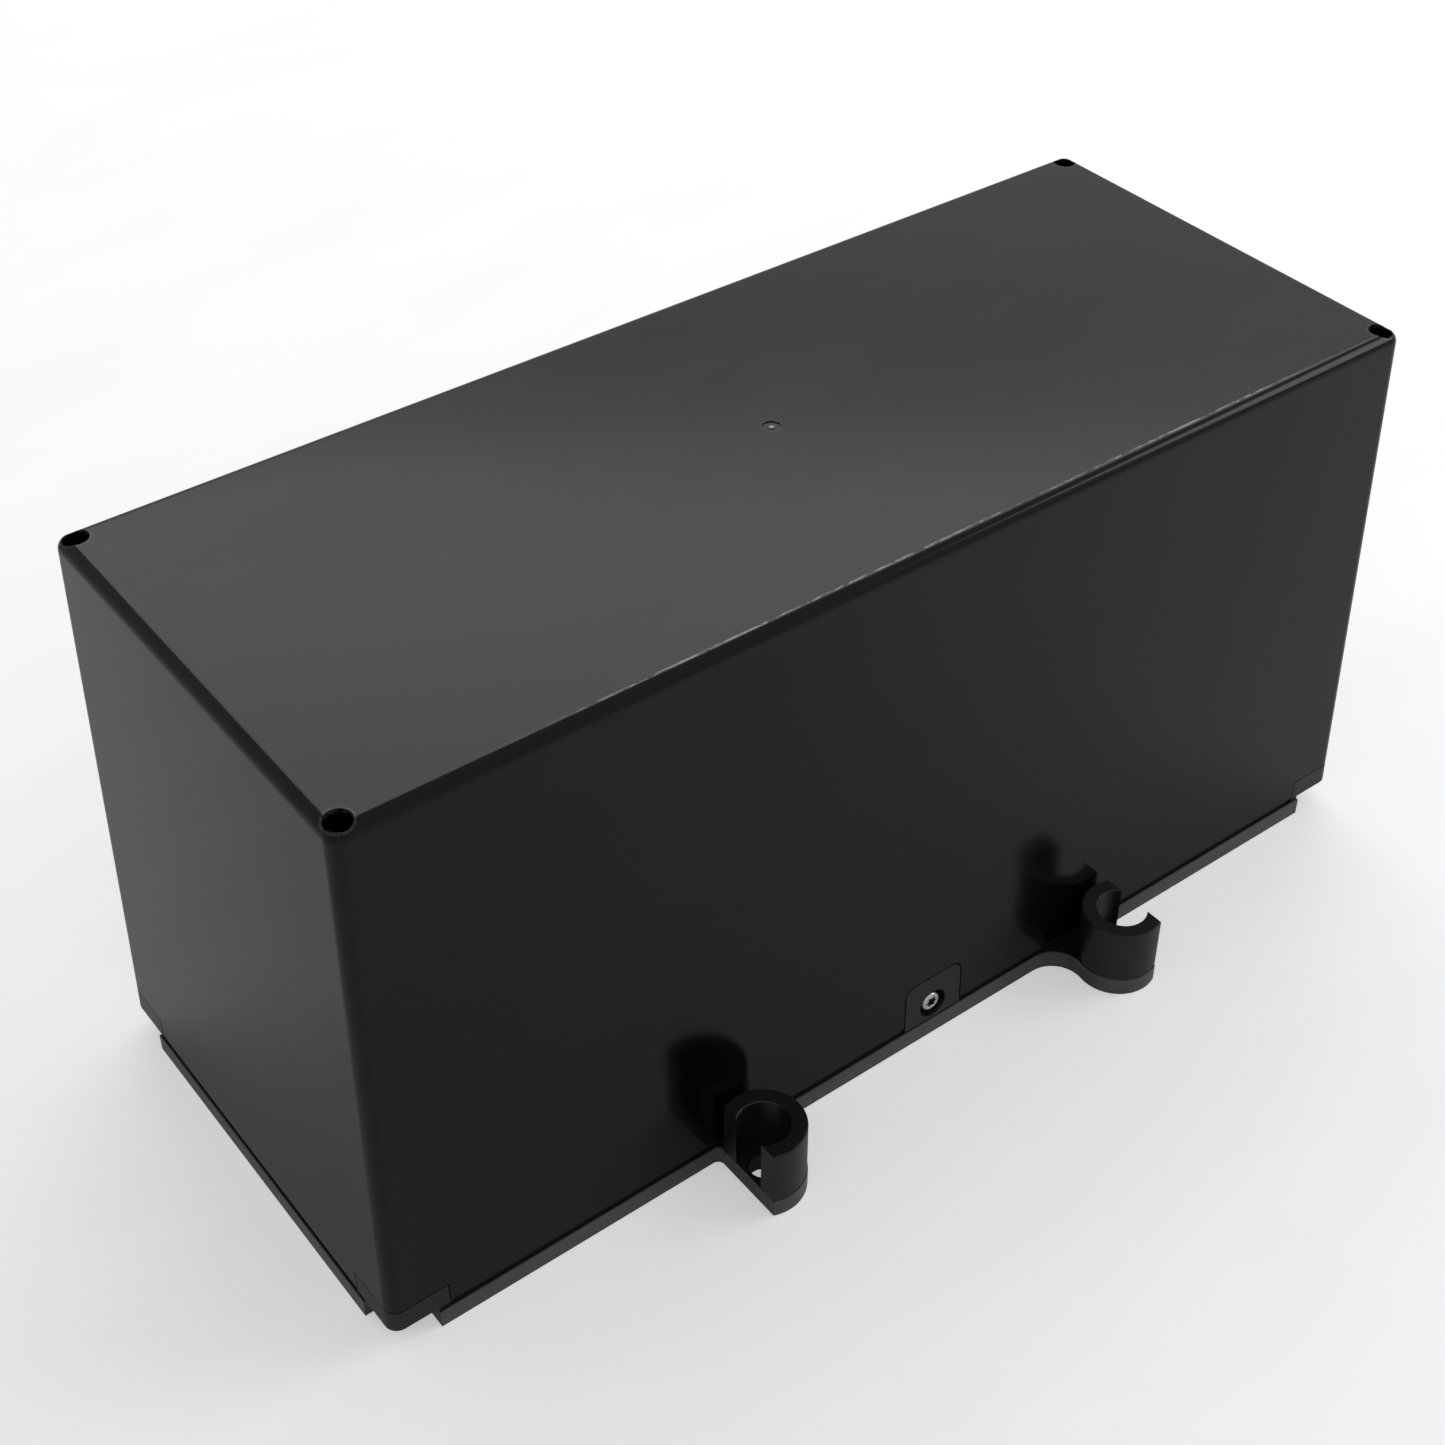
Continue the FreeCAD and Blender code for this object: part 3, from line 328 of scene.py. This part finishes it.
def plainMetal(name, finish):  # colour goes to the stained one where the stain is, shine and bump follow the lines
    made, tree, shader, where = startMaterial(name, finish["colour"])
    marks = placeGroup(tree, "metal", (1, 0), where, {"Scale": finish["lineScale"], "Stretch": finish["stretch"]})
    stain = rampMask(tree, (3, 0), marks["Stain"], *metalValues["stainRange"])
    feed(tree, shader.inputs["Base Color"], mixColours(tree, (4, 0), stain, finish["colour"], finish["stained"]))
    feed(tree, shader.inputs["Roughness"], rangeOf(tree, (4, 2), marks["Lines"], *finish["rough"]))
    shader.inputs["Metallic"].default_value = 1.0
    addBump(tree, shader, marks["Lines"], finish["bump"], metalValues["depth"])
    return made


# the head's radius also places the painted highlight rings round the wells
screwValues = {
    "columns": 60, "headRadius": 0.0029, "headHeight": 0.0022, "round": 0.0009, "roundRings": 7, "underEdge": 0.0001,
    "shankRadius": 0.0015, "pitch": 0.0005, "threadDepth": 0.0003, "threadStart": 0.0004, "point": 0.0006,
    "pointTaper": 0.0002, "recessRadius": 0.00145, "lobes": 6, "lobe": 0.0003, "recessDepth": 0.0011,
    "recessTip": 0.0002, "recessTaper": (0.55, 0.94), "lipDepth": 0.00012, "lipWidth": 0.0001,
}

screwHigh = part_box("cover_screws")[1]
wellCentre = (screwHigh.x - screwValues["headRadius"], screwHigh.y - screwValues["headRadius"])
gateRing = {"centre": (0.0, 0.0), "radius": 0.0018, "width": 0.0013, "grain": 2600.0,
            "breaks": (0.42, 0.7), "colour": (0.07, 0.07, 0.072)}
gateDot = {"centre": (0.0, 0.0), "radius": 0.0, "width": 0.0009, "grain": 1800.0,
           "breaks": (0.1, 0.3), "colour": (0.4, 0.4, 0.41)}
# a pale broken ring on each well's rim: a painted highlight
wellRimHighlight = {"centre": wellCentre, "radius": 0.0033, "width": 0.0005, "grain": 1500.0,
            "breaks": (0.35, 0.6), "colour": (0.05, 0.05, 0.052)}
topInset = 0.006  # from the cover's foot in to where the flat top turns into its rounded front edge
rimPlace = {"Edge Y": coverHigh.y - topInset, "Top": coverHigh.z, "Width": 0.0005, "Middle X": 0.01, "Reach X": 0.13}

# the pale colour laid along the top's front edge is a painted highlight
coverFinish = {
    "colour": (0.0022, 0.0022, 0.0024), "drift": 1.5, "rough": (0.11, 0.18), "bump": 0.3, "depth": 0.00005,
    "grainScale": 2600.0, "grain": 0.3, "waveScale": 14.0, "wave": 1.6, "stretch": 0.3, "ior": 1.36,
    "dustScale": 240.0, "dustSize": 0.06, "dust": 0.16, "dustColour": (0.045, 0.045, 0.048),
    "scuffColour": (0.42, 0.42, 0.43),
}
insideFinish = dict(coverFinish, wave=1.0)
wireFinish = dict(insideFinish, grainScale=4200.0)
finishes = {
    "shell": dict(coverFinish, rings=[gateRing, gateDot, wellRimHighlight], rim=rimPlace),
    # the base's paler cut edges are a painted reflection of the floor
    "base": dict(insideFinish, colour=(0.012, 0.012, 0.0123), drift=1.3, rough=(0.27, 0.4), grain=0.8, ior=1.42,
                 paintedEdgeReflection={"heights": (0.00495, 0.0052), "colour": (0.1, 0.1, 0.102)}),
    "caseGrey": dict(coverFinish, colour=(0.085, 0.09, 0.098), drift=1.12, rough=(0.4, 0.55), wave=2.0, ior=1.5,
                     dust=0.15),
    "lidGrey": dict(coverFinish, colour=(0.05, 0.052, 0.058), drift=1.15, rough=(0.38, 0.52), wave=2.0, dust=0.2),
    "redPart": dict(insideFinish, colour=(0.42, 0.012, 0.01), drift=1.15, rough=(0.3, 0.42), dust=0.1),
    "blackPart": dict(insideFinish, colour=(0.016, 0.016, 0.017), drift=1.3, rough=(0.34, 0.48)),
    "connector": dict(insideFinish, colour=(0.6, 0.575, 0.5), drift=1.06, rough=(0.42, 0.55),
                      dustColour=(0.35, 0.33, 0.3)),
    "fuseYellow": dict(insideFinish, colour=(0.75, 0.42, 0.02), drift=1.1, rough=(0.18, 0.3), dust=0.05),
    "redWire": dict(wireFinish, colour=(0.36, 0.01, 0.008), drift=1.2, rough=(0.36, 0.5), dust=0.1),
    "blackWire": dict(wireFinish, colour=(0.014, 0.014, 0.015), drift=1.4, rough=(0.38, 0.52)),
    "softRubber": dict(insideFinish, colour=(0.012, 0.012, 0.012), drift=1.8, rough=(0.62, 0.8), bump=0.6,
                       grain=1.0, dust=0.5),
    "barPaint": dict(insideFinish, colour=(0.018, 0.018, 0.019), drift=1.3, rough=(0.38, 0.5), grainScale=1500.0,
                     grain=1.2),
}
zincFinish = {"colour": (0.9, 0.9, 0.88), "stained": (0.72, 0.72, 0.69), "rough": (0.16, 0.32),
              "lineScale": 2400.0, "stretch": 0.5, "bump": 0.12}
metals = {
    "zinc": zincFinish,
    # painted shade: this dark colour stands for the shade at the bottom of the screw recesses, its stained colour a
    # still darker painted shade
    "recessShade": dict(zincFinish, colour=(0.1, 0.1, 0.098), stained=(0.05, 0.05, 0.048), rough=(0.45, 0.65)),
    "brass": dict(zincFinish, colour=(0.74, 0.55, 0.25), stained=(0.5, 0.34, 0.14), rough=(0.2, 0.4),
                  lineScale=2200.0, stretch=0.6),
    "tin": dict(zincFinish, colour=(0.7, 0.69, 0.66), stained=(0.55, 0.53, 0.5), rough=(0.28, 0.46),
                lineScale=1800.0, stretch=0.1, bump=0.15),
}
materials = {name: mouldedPlastic(name, finish) for name, finish in finishes.items()}
materials.update({name: plainMetal(name, finish) for name, finish in metals.items()})
print("stage: materials made,", len(materials))

nodeFinish = {
    "cover": "shell", "base": "base", "edge_gaskets": "softRubber", "cable_grommet": "softRubber",
    "tongue_screw": "zinc", "tongue_insert": "brass", "cover_screws": "zinc", "corner_inserts": "brass",
    "left_battery_case": "caseGrey", "left_battery_lid": "lidGrey", "left_battery_vent_strip": "lidGrey",
    "right_battery_case": "caseGrey", "right_battery_lid": "lidGrey", "right_battery_vent_strip": "lidGrey",
    "left_battery_terminals": "tin", "right_battery_terminals": "tin",
    "positive_collars": "redPart", "negative_collars": "blackPart",
    "positive_sleeves": "redPart", "negative_sleeves": "blackPart",
    "seat_strips": "softRubber", "battery_divider": "blackPart",
    "left_clamp_bar": "barPaint", "right_clamp_bar": "barPaint",
    "tie_rods": "zinc", "tie_rod_washers": "zinc", "wing_nuts": "zinc",
    "terminal_block": "connector", "clamp_screws": "zinc", "fuse_holder": "blackPart", "fuse": "fuseYellow",
    "series_link": "redWire", "negative_lead": "blackWire", "positive_lead": "redWire", "fused_lead": "redWire",
}
for nodeName, key in nodeFinish.items():
    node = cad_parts[nodeName]
    node.data.materials.clear()
    node.data.materials.append(materials[key])
print("stage: finishes on the frame's nodes")

meshValues = {"crease": 38.0, "ringsPerTurn": 6}


def linkObject(name, data):
    made = bpy.data.objects.new(name, data)
    bpy.context.scene.collection.objects.link(made)
    return made


def ringPoints(turn, rings):  # each ring is (radius * cos, radius * sin, height)
    rows = [np.stack([radius * np.cos(turn), radius * np.sin(turn), np.full_like(turn, height)], -1)
            for radius, height in rings]
    return np.stack(rows)[::-1]  # bottom first, so that the faces point outwards


# radius - depth * saw(height / pitch + turn), where the depth fades out at both ends
def threadRings(turn, radius, depth, pitch, high, low):
    heights = np.linspace(high, low, int((high - low) / pitch * meshValues["ringsPerTurn"]) + 1)
    fade = np.minimum(1.0, np.minimum(high - heights, heights - low) / pitch)
    saw = np.abs(((heights[:, None] / pitch + turn / (2 * np.pi)) % 1.0) * 2 - 1)
    return list(zip(radius - depth * fade[:, None] * saw, heights))


def turnedPiece(rows, darkRings=0):  # rings of points closed round the axis, with a fan of triangles at each end
    count, columns = rows.shape[:2]
    index = np.arange(count * columns).reshape(count, columns)
    nextColumn = np.roll(index, -1, axis=1)
    quads = np.stack([index[:-1], nextColumn[:-1], nextColumn[1:], index[1:]], -1).reshape(-1, 4)
    points = np.vstack([rows.reshape(-1, 3), rows[0].mean(axis=0), rows[-1].mean(axis=0)])
    firstPole = np.full(columns, count * columns)
    firstFan = np.stack([nextColumn[0], index[0], firstPole], -1)
    lastFan = np.stack([index[-1], nextColumn[-1], firstPole + 1], -1)
    dark = np.zeros(len(quads) + 2 * columns, dtype=np.int32)
    if darkRings:  # the last rings and the last fan are the bottom of a recess, given the dark painted-shade material
        dark[len(quads) - darkRings * columns:len(quads)] = 1
        dark[-columns:] = 1
    return points, (quads, firstFan, lastFan), dark


def joinPieces(name, parts, keys):  # a face's mark picks its material from keys
    faces, offset = [], 0
    for points, blocks, marks in parts:
        for block in blocks:
            faces.extend((block + offset).tolist())
        offset += len(points)
    mesh = bpy.data.meshes.new(name)
    mesh.from_pydata(np.vstack([part[0] for part in parts]).tolist(), [], faces)
    mesh.polygons.foreach_set("use_smooth", np.ones(len(faces), dtype=bool))
    mesh.set_sharp_from_angle(angle=math.radians(meshValues["crease"]))
    for key in keys:
        mesh.materials.append(materials[key])
    mesh.polygons.foreach_set("material_index", np.concatenate([part[2] for part in parts]))
    mesh.update()
    return linkObject(name, mesh)


def panScrew(length):  # a recess of radius + lobe * cos(6 * turn), then a domed head, a threaded shank and a point
    v = screwValues
    turn = np.linspace(0, 2 * np.pi, v["columns"], endpoint=False)
    flat = np.ones_like(turn)
    lobed = v["recessRadius"] + v["lobe"] * np.cos(v["lobes"] * turn)
    top, bottom = v["headHeight"], v["headHeight"] - v["recessDepth"]
    inner, outer = v["recessTaper"]
    rings = [(lobed * inner, bottom - v["recessTip"]), (lobed * outer, bottom), (lobed, top - v["lipDepth"]),
             (lobed + v["lipWidth"], top), (flat * (v["headRadius"] - v["round"]), top)]
    for bend in np.linspace(0.15, 1.0, v["roundRings"]) * np.pi / 2:
        reach = v["headRadius"] - v["round"] * (1 - np.sin(bend))
        rings.append((flat * reach, top - v["round"] * (1 - np.cos(bend))))
    rings.append((flat * v["headRadius"], v["underEdge"]))
    rings.append((flat * (v["headRadius"] - v["underEdge"]), 0.0))
    rings.append((flat * v["shankRadius"], 0.0))
    rings.extend(threadRings(turn, v["shankRadius"], v["threadDepth"], v["pitch"], -v["threadStart"],
                             -length + v["point"]))
    rings.append((flat * (v["shankRadius"] - v["threadDepth"] - v["pointTaper"]), -length))
    return ringPoints(turn, rings)


def placedScrew(length, turned, place):
    rows = panScrew(length)
    if turned:  # the head faces the front: (x, y, z) becomes (x, -z, y)
        rows = np.stack([rows[..., 0], -rows[..., 2], rows[..., 1]], -1)
    return turnedPiece(rows + np.array(place), darkRings=2)


def makeScrews():
    low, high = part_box("tongue_screw")
    place = ((low.x + high.x) / 2, low.y + screwValues["headHeight"], (low.z + high.z) / 2)
    front = joinPieces("tongueScrewTurned", [placedScrew(high.y - place[1], True, place)], ["zinc", "recessShade"])
    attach(front, "tongue_screw")
    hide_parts("tongue_screw")
    low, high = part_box("cover_screws")
    seat = high.z - screwValues["headHeight"]
    reachX, reachY = wellCentre
    corners = [(sideX * reachX, sideY * reachY, seat) for sideX in (-1, 1) for sideY in (-1, 1)]
    four = joinPieces("coverScrewsTurned", [placedScrew(seat - low.z, False, corner) for corner in corners],
                      ["zinc", "recessShade"])
    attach(four, "cover_screws")
    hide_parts("cover_screws")


rodValues = {"columns": 36, "radius": 0.002, "pitch": 0.0007, "threadDepth": 0.0003, "threaded": 0.02,
             "tipTaper": 0.0005, "tipHeight": 0.0004, "threadStart": 0.0005, "runOut": 0.0004}


def makeTieRods():  # a plain rod whose top end carries a thread
    v = rodValues
    low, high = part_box("tie_rods")
    turn = np.linspace(0, 2 * np.pi, v["columns"], endpoint=False)
    flat = np.ones_like(turn) * v["radius"]
    threadEnd = high.z - v["threaded"]
    rings = [(flat - v["tipTaper"], high.z), (flat, high.z - v["tipHeight"])]
    rings.extend(threadRings(turn, v["radius"], v["threadDepth"], v["pitch"], high.z - v["threadStart"], threadEnd))
    rings.append((flat, threadEnd - v["runOut"]))
    rings.append((flat, low.z))
    rows = ringPoints(turn, rings)
    reachX = high.x - v["radius"]
    places = [(sideX * reachX, y, 0.0) for sideX in (-1, 1) for y in (low.y + v["radius"], high.y - v["radius"])]
    rods = joinPieces("tieRodsThreaded", [turnedPiece(rows + np.array(place)) for place in places], ["zinc"])
    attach(rods, "base")
    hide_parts("tie_rods")


makeScrews()
makeTieRods()
print("stage: screws and tie rods")

caseValues = {
    "corner": 0.003, "cornerSteps": 9, "step": 0.0008, "panelEnd": 0.012, "panelLow": 0.01, "panelHigh": 0.014,
    "panelDepth": 0.0008, "panelRings": 7, "panelReach": 1.5, "ribPitch": 0.0145, "ribHalf": 0.0012,
    "soften": 0.0009, "grooveDrop": 0.006, "grooveHalf": 0.0009, "grooveDepth": 0.0006, "grooveRings": 9,
    "grooveReach": 2.0, "footRound": 0.0008,
}


def smoothStep(value, middle, half):  # rises from 0 to 1 across middle, over half on each side of it
    share = np.clip((value - middle + half) / (2 * half), 0.0, 1.0)
    return share * share * (3 - 2 * share)


def roundedOutline(halfX, halfY):  # four straight sides, each followed by a quarter circle, turned by quarters
    v = caseValues
    arc = np.linspace(0, np.pi / 2, v["cornerSteps"])[1:-1]
    points, outward, along, sideHalf = [], [], [], []
    for quarter in range(4):
        reach, half = (halfX, halfY) if quarter % 2 == 0 else (halfY, halfX)
        straight = half - v["corner"]
        side = np.linspace(-straight, straight, int(2 * straight / v["step"]))
        across = np.concatenate([np.full(len(side), reach), reach - v["corner"] + v["corner"] * np.cos(arc)])
        sideways = np.concatenate([side, straight + v["corner"] * np.sin(arc)])
        normalAcross = np.concatenate([np.ones(len(side)), np.cos(arc)])
        normalSide = np.concatenate([np.zeros(len(side)), np.sin(arc)])
        cosine, sine = np.cos(quarter * np.pi / 2), np.sin(quarter * np.pi / 2)
        points.append(np.stack([across * cosine - sideways * sine, across * sine + sideways * cosine], -1))
        outward.append(np.stack([normalAcross * cosine - normalSide * sine,
                                 normalAcross * sine + normalSide * cosine], -1))
        along.append(sideways)
        sideHalf.append(np.full(len(sideways), half))
    return np.concatenate(points), np.concatenate(outward), np.concatenate(along), np.concatenate(sideHalf)


# the wall sinks by panel(height) * panel(along) * (1 - rib(along)) * depth, plus a groove under the lid
def ribbedCase(name, node, key):
    v = caseValues
    low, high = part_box(node)
    outline, outward, along, half = roundedOutline((high.x - low.x) / 2, (high.y - low.y) / 2)
    panelLow, panelHigh, groove = low.z + v["panelLow"], high.z - v["panelHigh"], high.z - v["grooveDrop"]
    panelSpan, grooveSpan = v["soften"] * v["panelReach"], v["grooveHalf"] * v["grooveReach"]
    heights = np.concatenate([[low.z, low.z + v["footRound"]],
                              np.linspace(panelLow - panelSpan, panelLow + panelSpan, v["panelRings"]),
                              np.linspace(panelHigh - panelSpan, panelHigh + panelSpan, v["panelRings"]),
                              np.linspace(groove - grooveSpan, groove + grooveSpan, v["grooveRings"]), [high.z]])
    panelAlong = 1 - smoothStep(np.abs(along), half - v["panelEnd"], v["soften"])
    fromRib = np.abs((along / v["ribPitch"] + 0.5) % 1.0 - 0.5) * v["ribPitch"]
    rib = 1 - smoothStep(fromRib, v["ribHalf"], v["soften"] / 2)
    panelUp = smoothStep(heights, panelLow, v["soften"]) * (1 - smoothStep(heights, panelHigh, v["soften"]))
    grooveUp = 1 - smoothStep(np.abs(heights - groove), v["grooveHalf"], v["soften"] / 2)
    sink = np.outer(panelUp, panelAlong * (1 - rib)) * v["panelDepth"] + grooveUp[:, None] * v["grooveDepth"]
    sink[0] += v["footRound"]
    flat = outline[None] - outward[None] * sink[..., None]
    rows = np.concatenate([flat, np.broadcast_to(heights[:, None, None], (len(heights), len(outline), 1))], -1)
    middle = np.array(((low.x + high.x) / 2, (low.y + high.y) / 2, 0.0))
    piece = joinPieces(name, [turnedPiece(rows + middle)], [key])
    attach(piece, "base")
    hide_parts(node)


ribbedCase("leftCaseRibbed", "left_battery_case", "caseGrey")
ribbedCase("rightCaseRibbed", "right_battery_case", "caseGrey")
print("stage: battery cases")

stageValues = {
    "floorSize": 16.0, "floorSteps": 41, "floorDrop": 0.0002, "floorColour": (0.84, 0.84, 0.845),
    "floorPale": (0.88, 0.88, 0.885), "floorGrain": 300.0, "floorRough": 0.8, "lift": (0.42, 0.42, 0.422),
    "world": (0.98, 0.985, 1.0), "worldStrength": 0.42,
}


def makeFloor():  # a flat square grid just under the base: (u, v) * half the size
    v = stageValues
    steps = np.linspace(-1, 1, v["floorSteps"]) * v["floorSize"] / 2
    x, y = np.meshgrid(steps, steps, indexing="ij")
    points = np.stack([x, y, np.full_like(x, baseLow.z - v["floorDrop"])], -1)
    index = np.arange(x.size).reshape(x.shape)
    quads = np.stack([index[:-1, :-1], index[1:, :-1], index[1:, 1:], index[:-1, 1:]], -1).reshape(-1, 4)
    mesh = bpy.data.meshes.new("floor")
    mesh.from_pydata(points.reshape(-1, 3).tolist(), [], quads.tolist())
    mesh.update()
    return linkObject("floor", mesh)


def floorMaterial():
    v = stageValues
    made, tree, shader, where = startMaterial("paleFloor", v["floorColour"])
    grain = placeGroup(tree, "grain", (1, 0), where, {"Grain Scale": v["floorGrain"]})
    feed(tree, shader.inputs["Base Color"], mixColours(tree, (3, 0), grain["Mottle"], v["floorColour"], v["floorPale"]))
    shader.inputs["Roughness"].default_value = v["floorRough"]
    path = addNode(tree, "ShaderNodeLightPath", (1, 3))  # the lift isn't seen in the box's reflections
    glow = mixColours(tree, (3, 3), path.outputs["Is Camera Ray"], (0.0, 0.0, 0.0), v["lift"])
    feed(tree, shader.inputs["Emission Color"], glow)
    shader.inputs["Emission Strength"].default_value = 1.0
    return made


floor = makeFloor()
floor.data.materials.append(floorMaterial())

lightValues = {
    "highBox": {"place": (0.855, 1.09, 1.54), "size": (2.0, 0.8), "power": 8.2},
    "lowBox": {"place": (1.101, 1.4, 1.0), "size": (2.0, 0.5), "power": 1.2},
    "frontFill": {"place": (1.2, -0.6, 0.9), "size": (0.8, 0.6), "power": 4.0},
}
aim = Vector((0.0, 0.0, 0.07))


def makeLights():  # flat rectangles that all face the middle of the box
    for lightName, values in lightValues.items():
        lamp = bpy.data.lights.new(lightName, "AREA")
        lamp.shape = "RECTANGLE"
        lamp.size, lamp.size_y = values["size"]
        lamp.energy = values["power"]
        holder = linkObject(lightName, lamp)
        holder.location = values["place"]
        holder.rotation_mode = "QUATERNION"
        holder.rotation_quaternion = (aim - Vector(values["place"])).to_track_quat("-Z", "Y")


def makeWorld():
    world = bpy.data.worlds.new("studio")
    bpy.context.scene.world = world
    world.use_nodes = True
    sky = world.node_tree.nodes["Background"]
    sky.inputs["Color"].default_value = (*stageValues["world"], 1.0)
    sky.inputs["Strength"].default_value = stageValues["worldStrength"]
    bpy.context.scene.view_settings.view_transform = "Standard"


cameraValues = {"place": (-0.291405, -0.366507, 0.46162), "azimuth": -38.178, "elevation": 38.248, "roll": 0.64,
                "lens": 58.80, "shift": (-0.02494, -0.0587), "sensor": 36.0, "nearest": 0.01}


def makeCamera():  # back = the direction from the box to the camera; the roll turns right and up about it
    v = cameraValues
    data = bpy.data.cameras.new("camera")
    data.lens = v["lens"]
    data.sensor_width = v["sensor"]
    data.shift_x, data.shift_y = v["shift"]
    data.clip_start = v["nearest"]
    azimuth, elevation, roll = (math.radians(v[key]) for key in ("azimuth", "elevation", "roll"))
    back = Vector((math.sin(azimuth) * math.cos(elevation), -math.cos(azimuth) * math.cos(elevation),
                   math.sin(elevation)))
    right = Vector((0, 0, 1)).cross(back).normalized()
    up = back.cross(right)
    rightTurned = right * math.cos(roll) + up * math.sin(roll)
    upTurned = up * math.cos(roll) - right * math.sin(roll)
    holder = linkObject("camera", data)
    holder.rotation_mode = "QUATERNION"
    holder.rotation_quaternion = Matrix((rightTurned, upTurned, back)).transposed().to_quaternion()
    holder.location = v["place"]
    bpy.context.scene.camera = holder


makeLights()
makeWorld()
makeCamera()
print("stage: floor, light and camera")
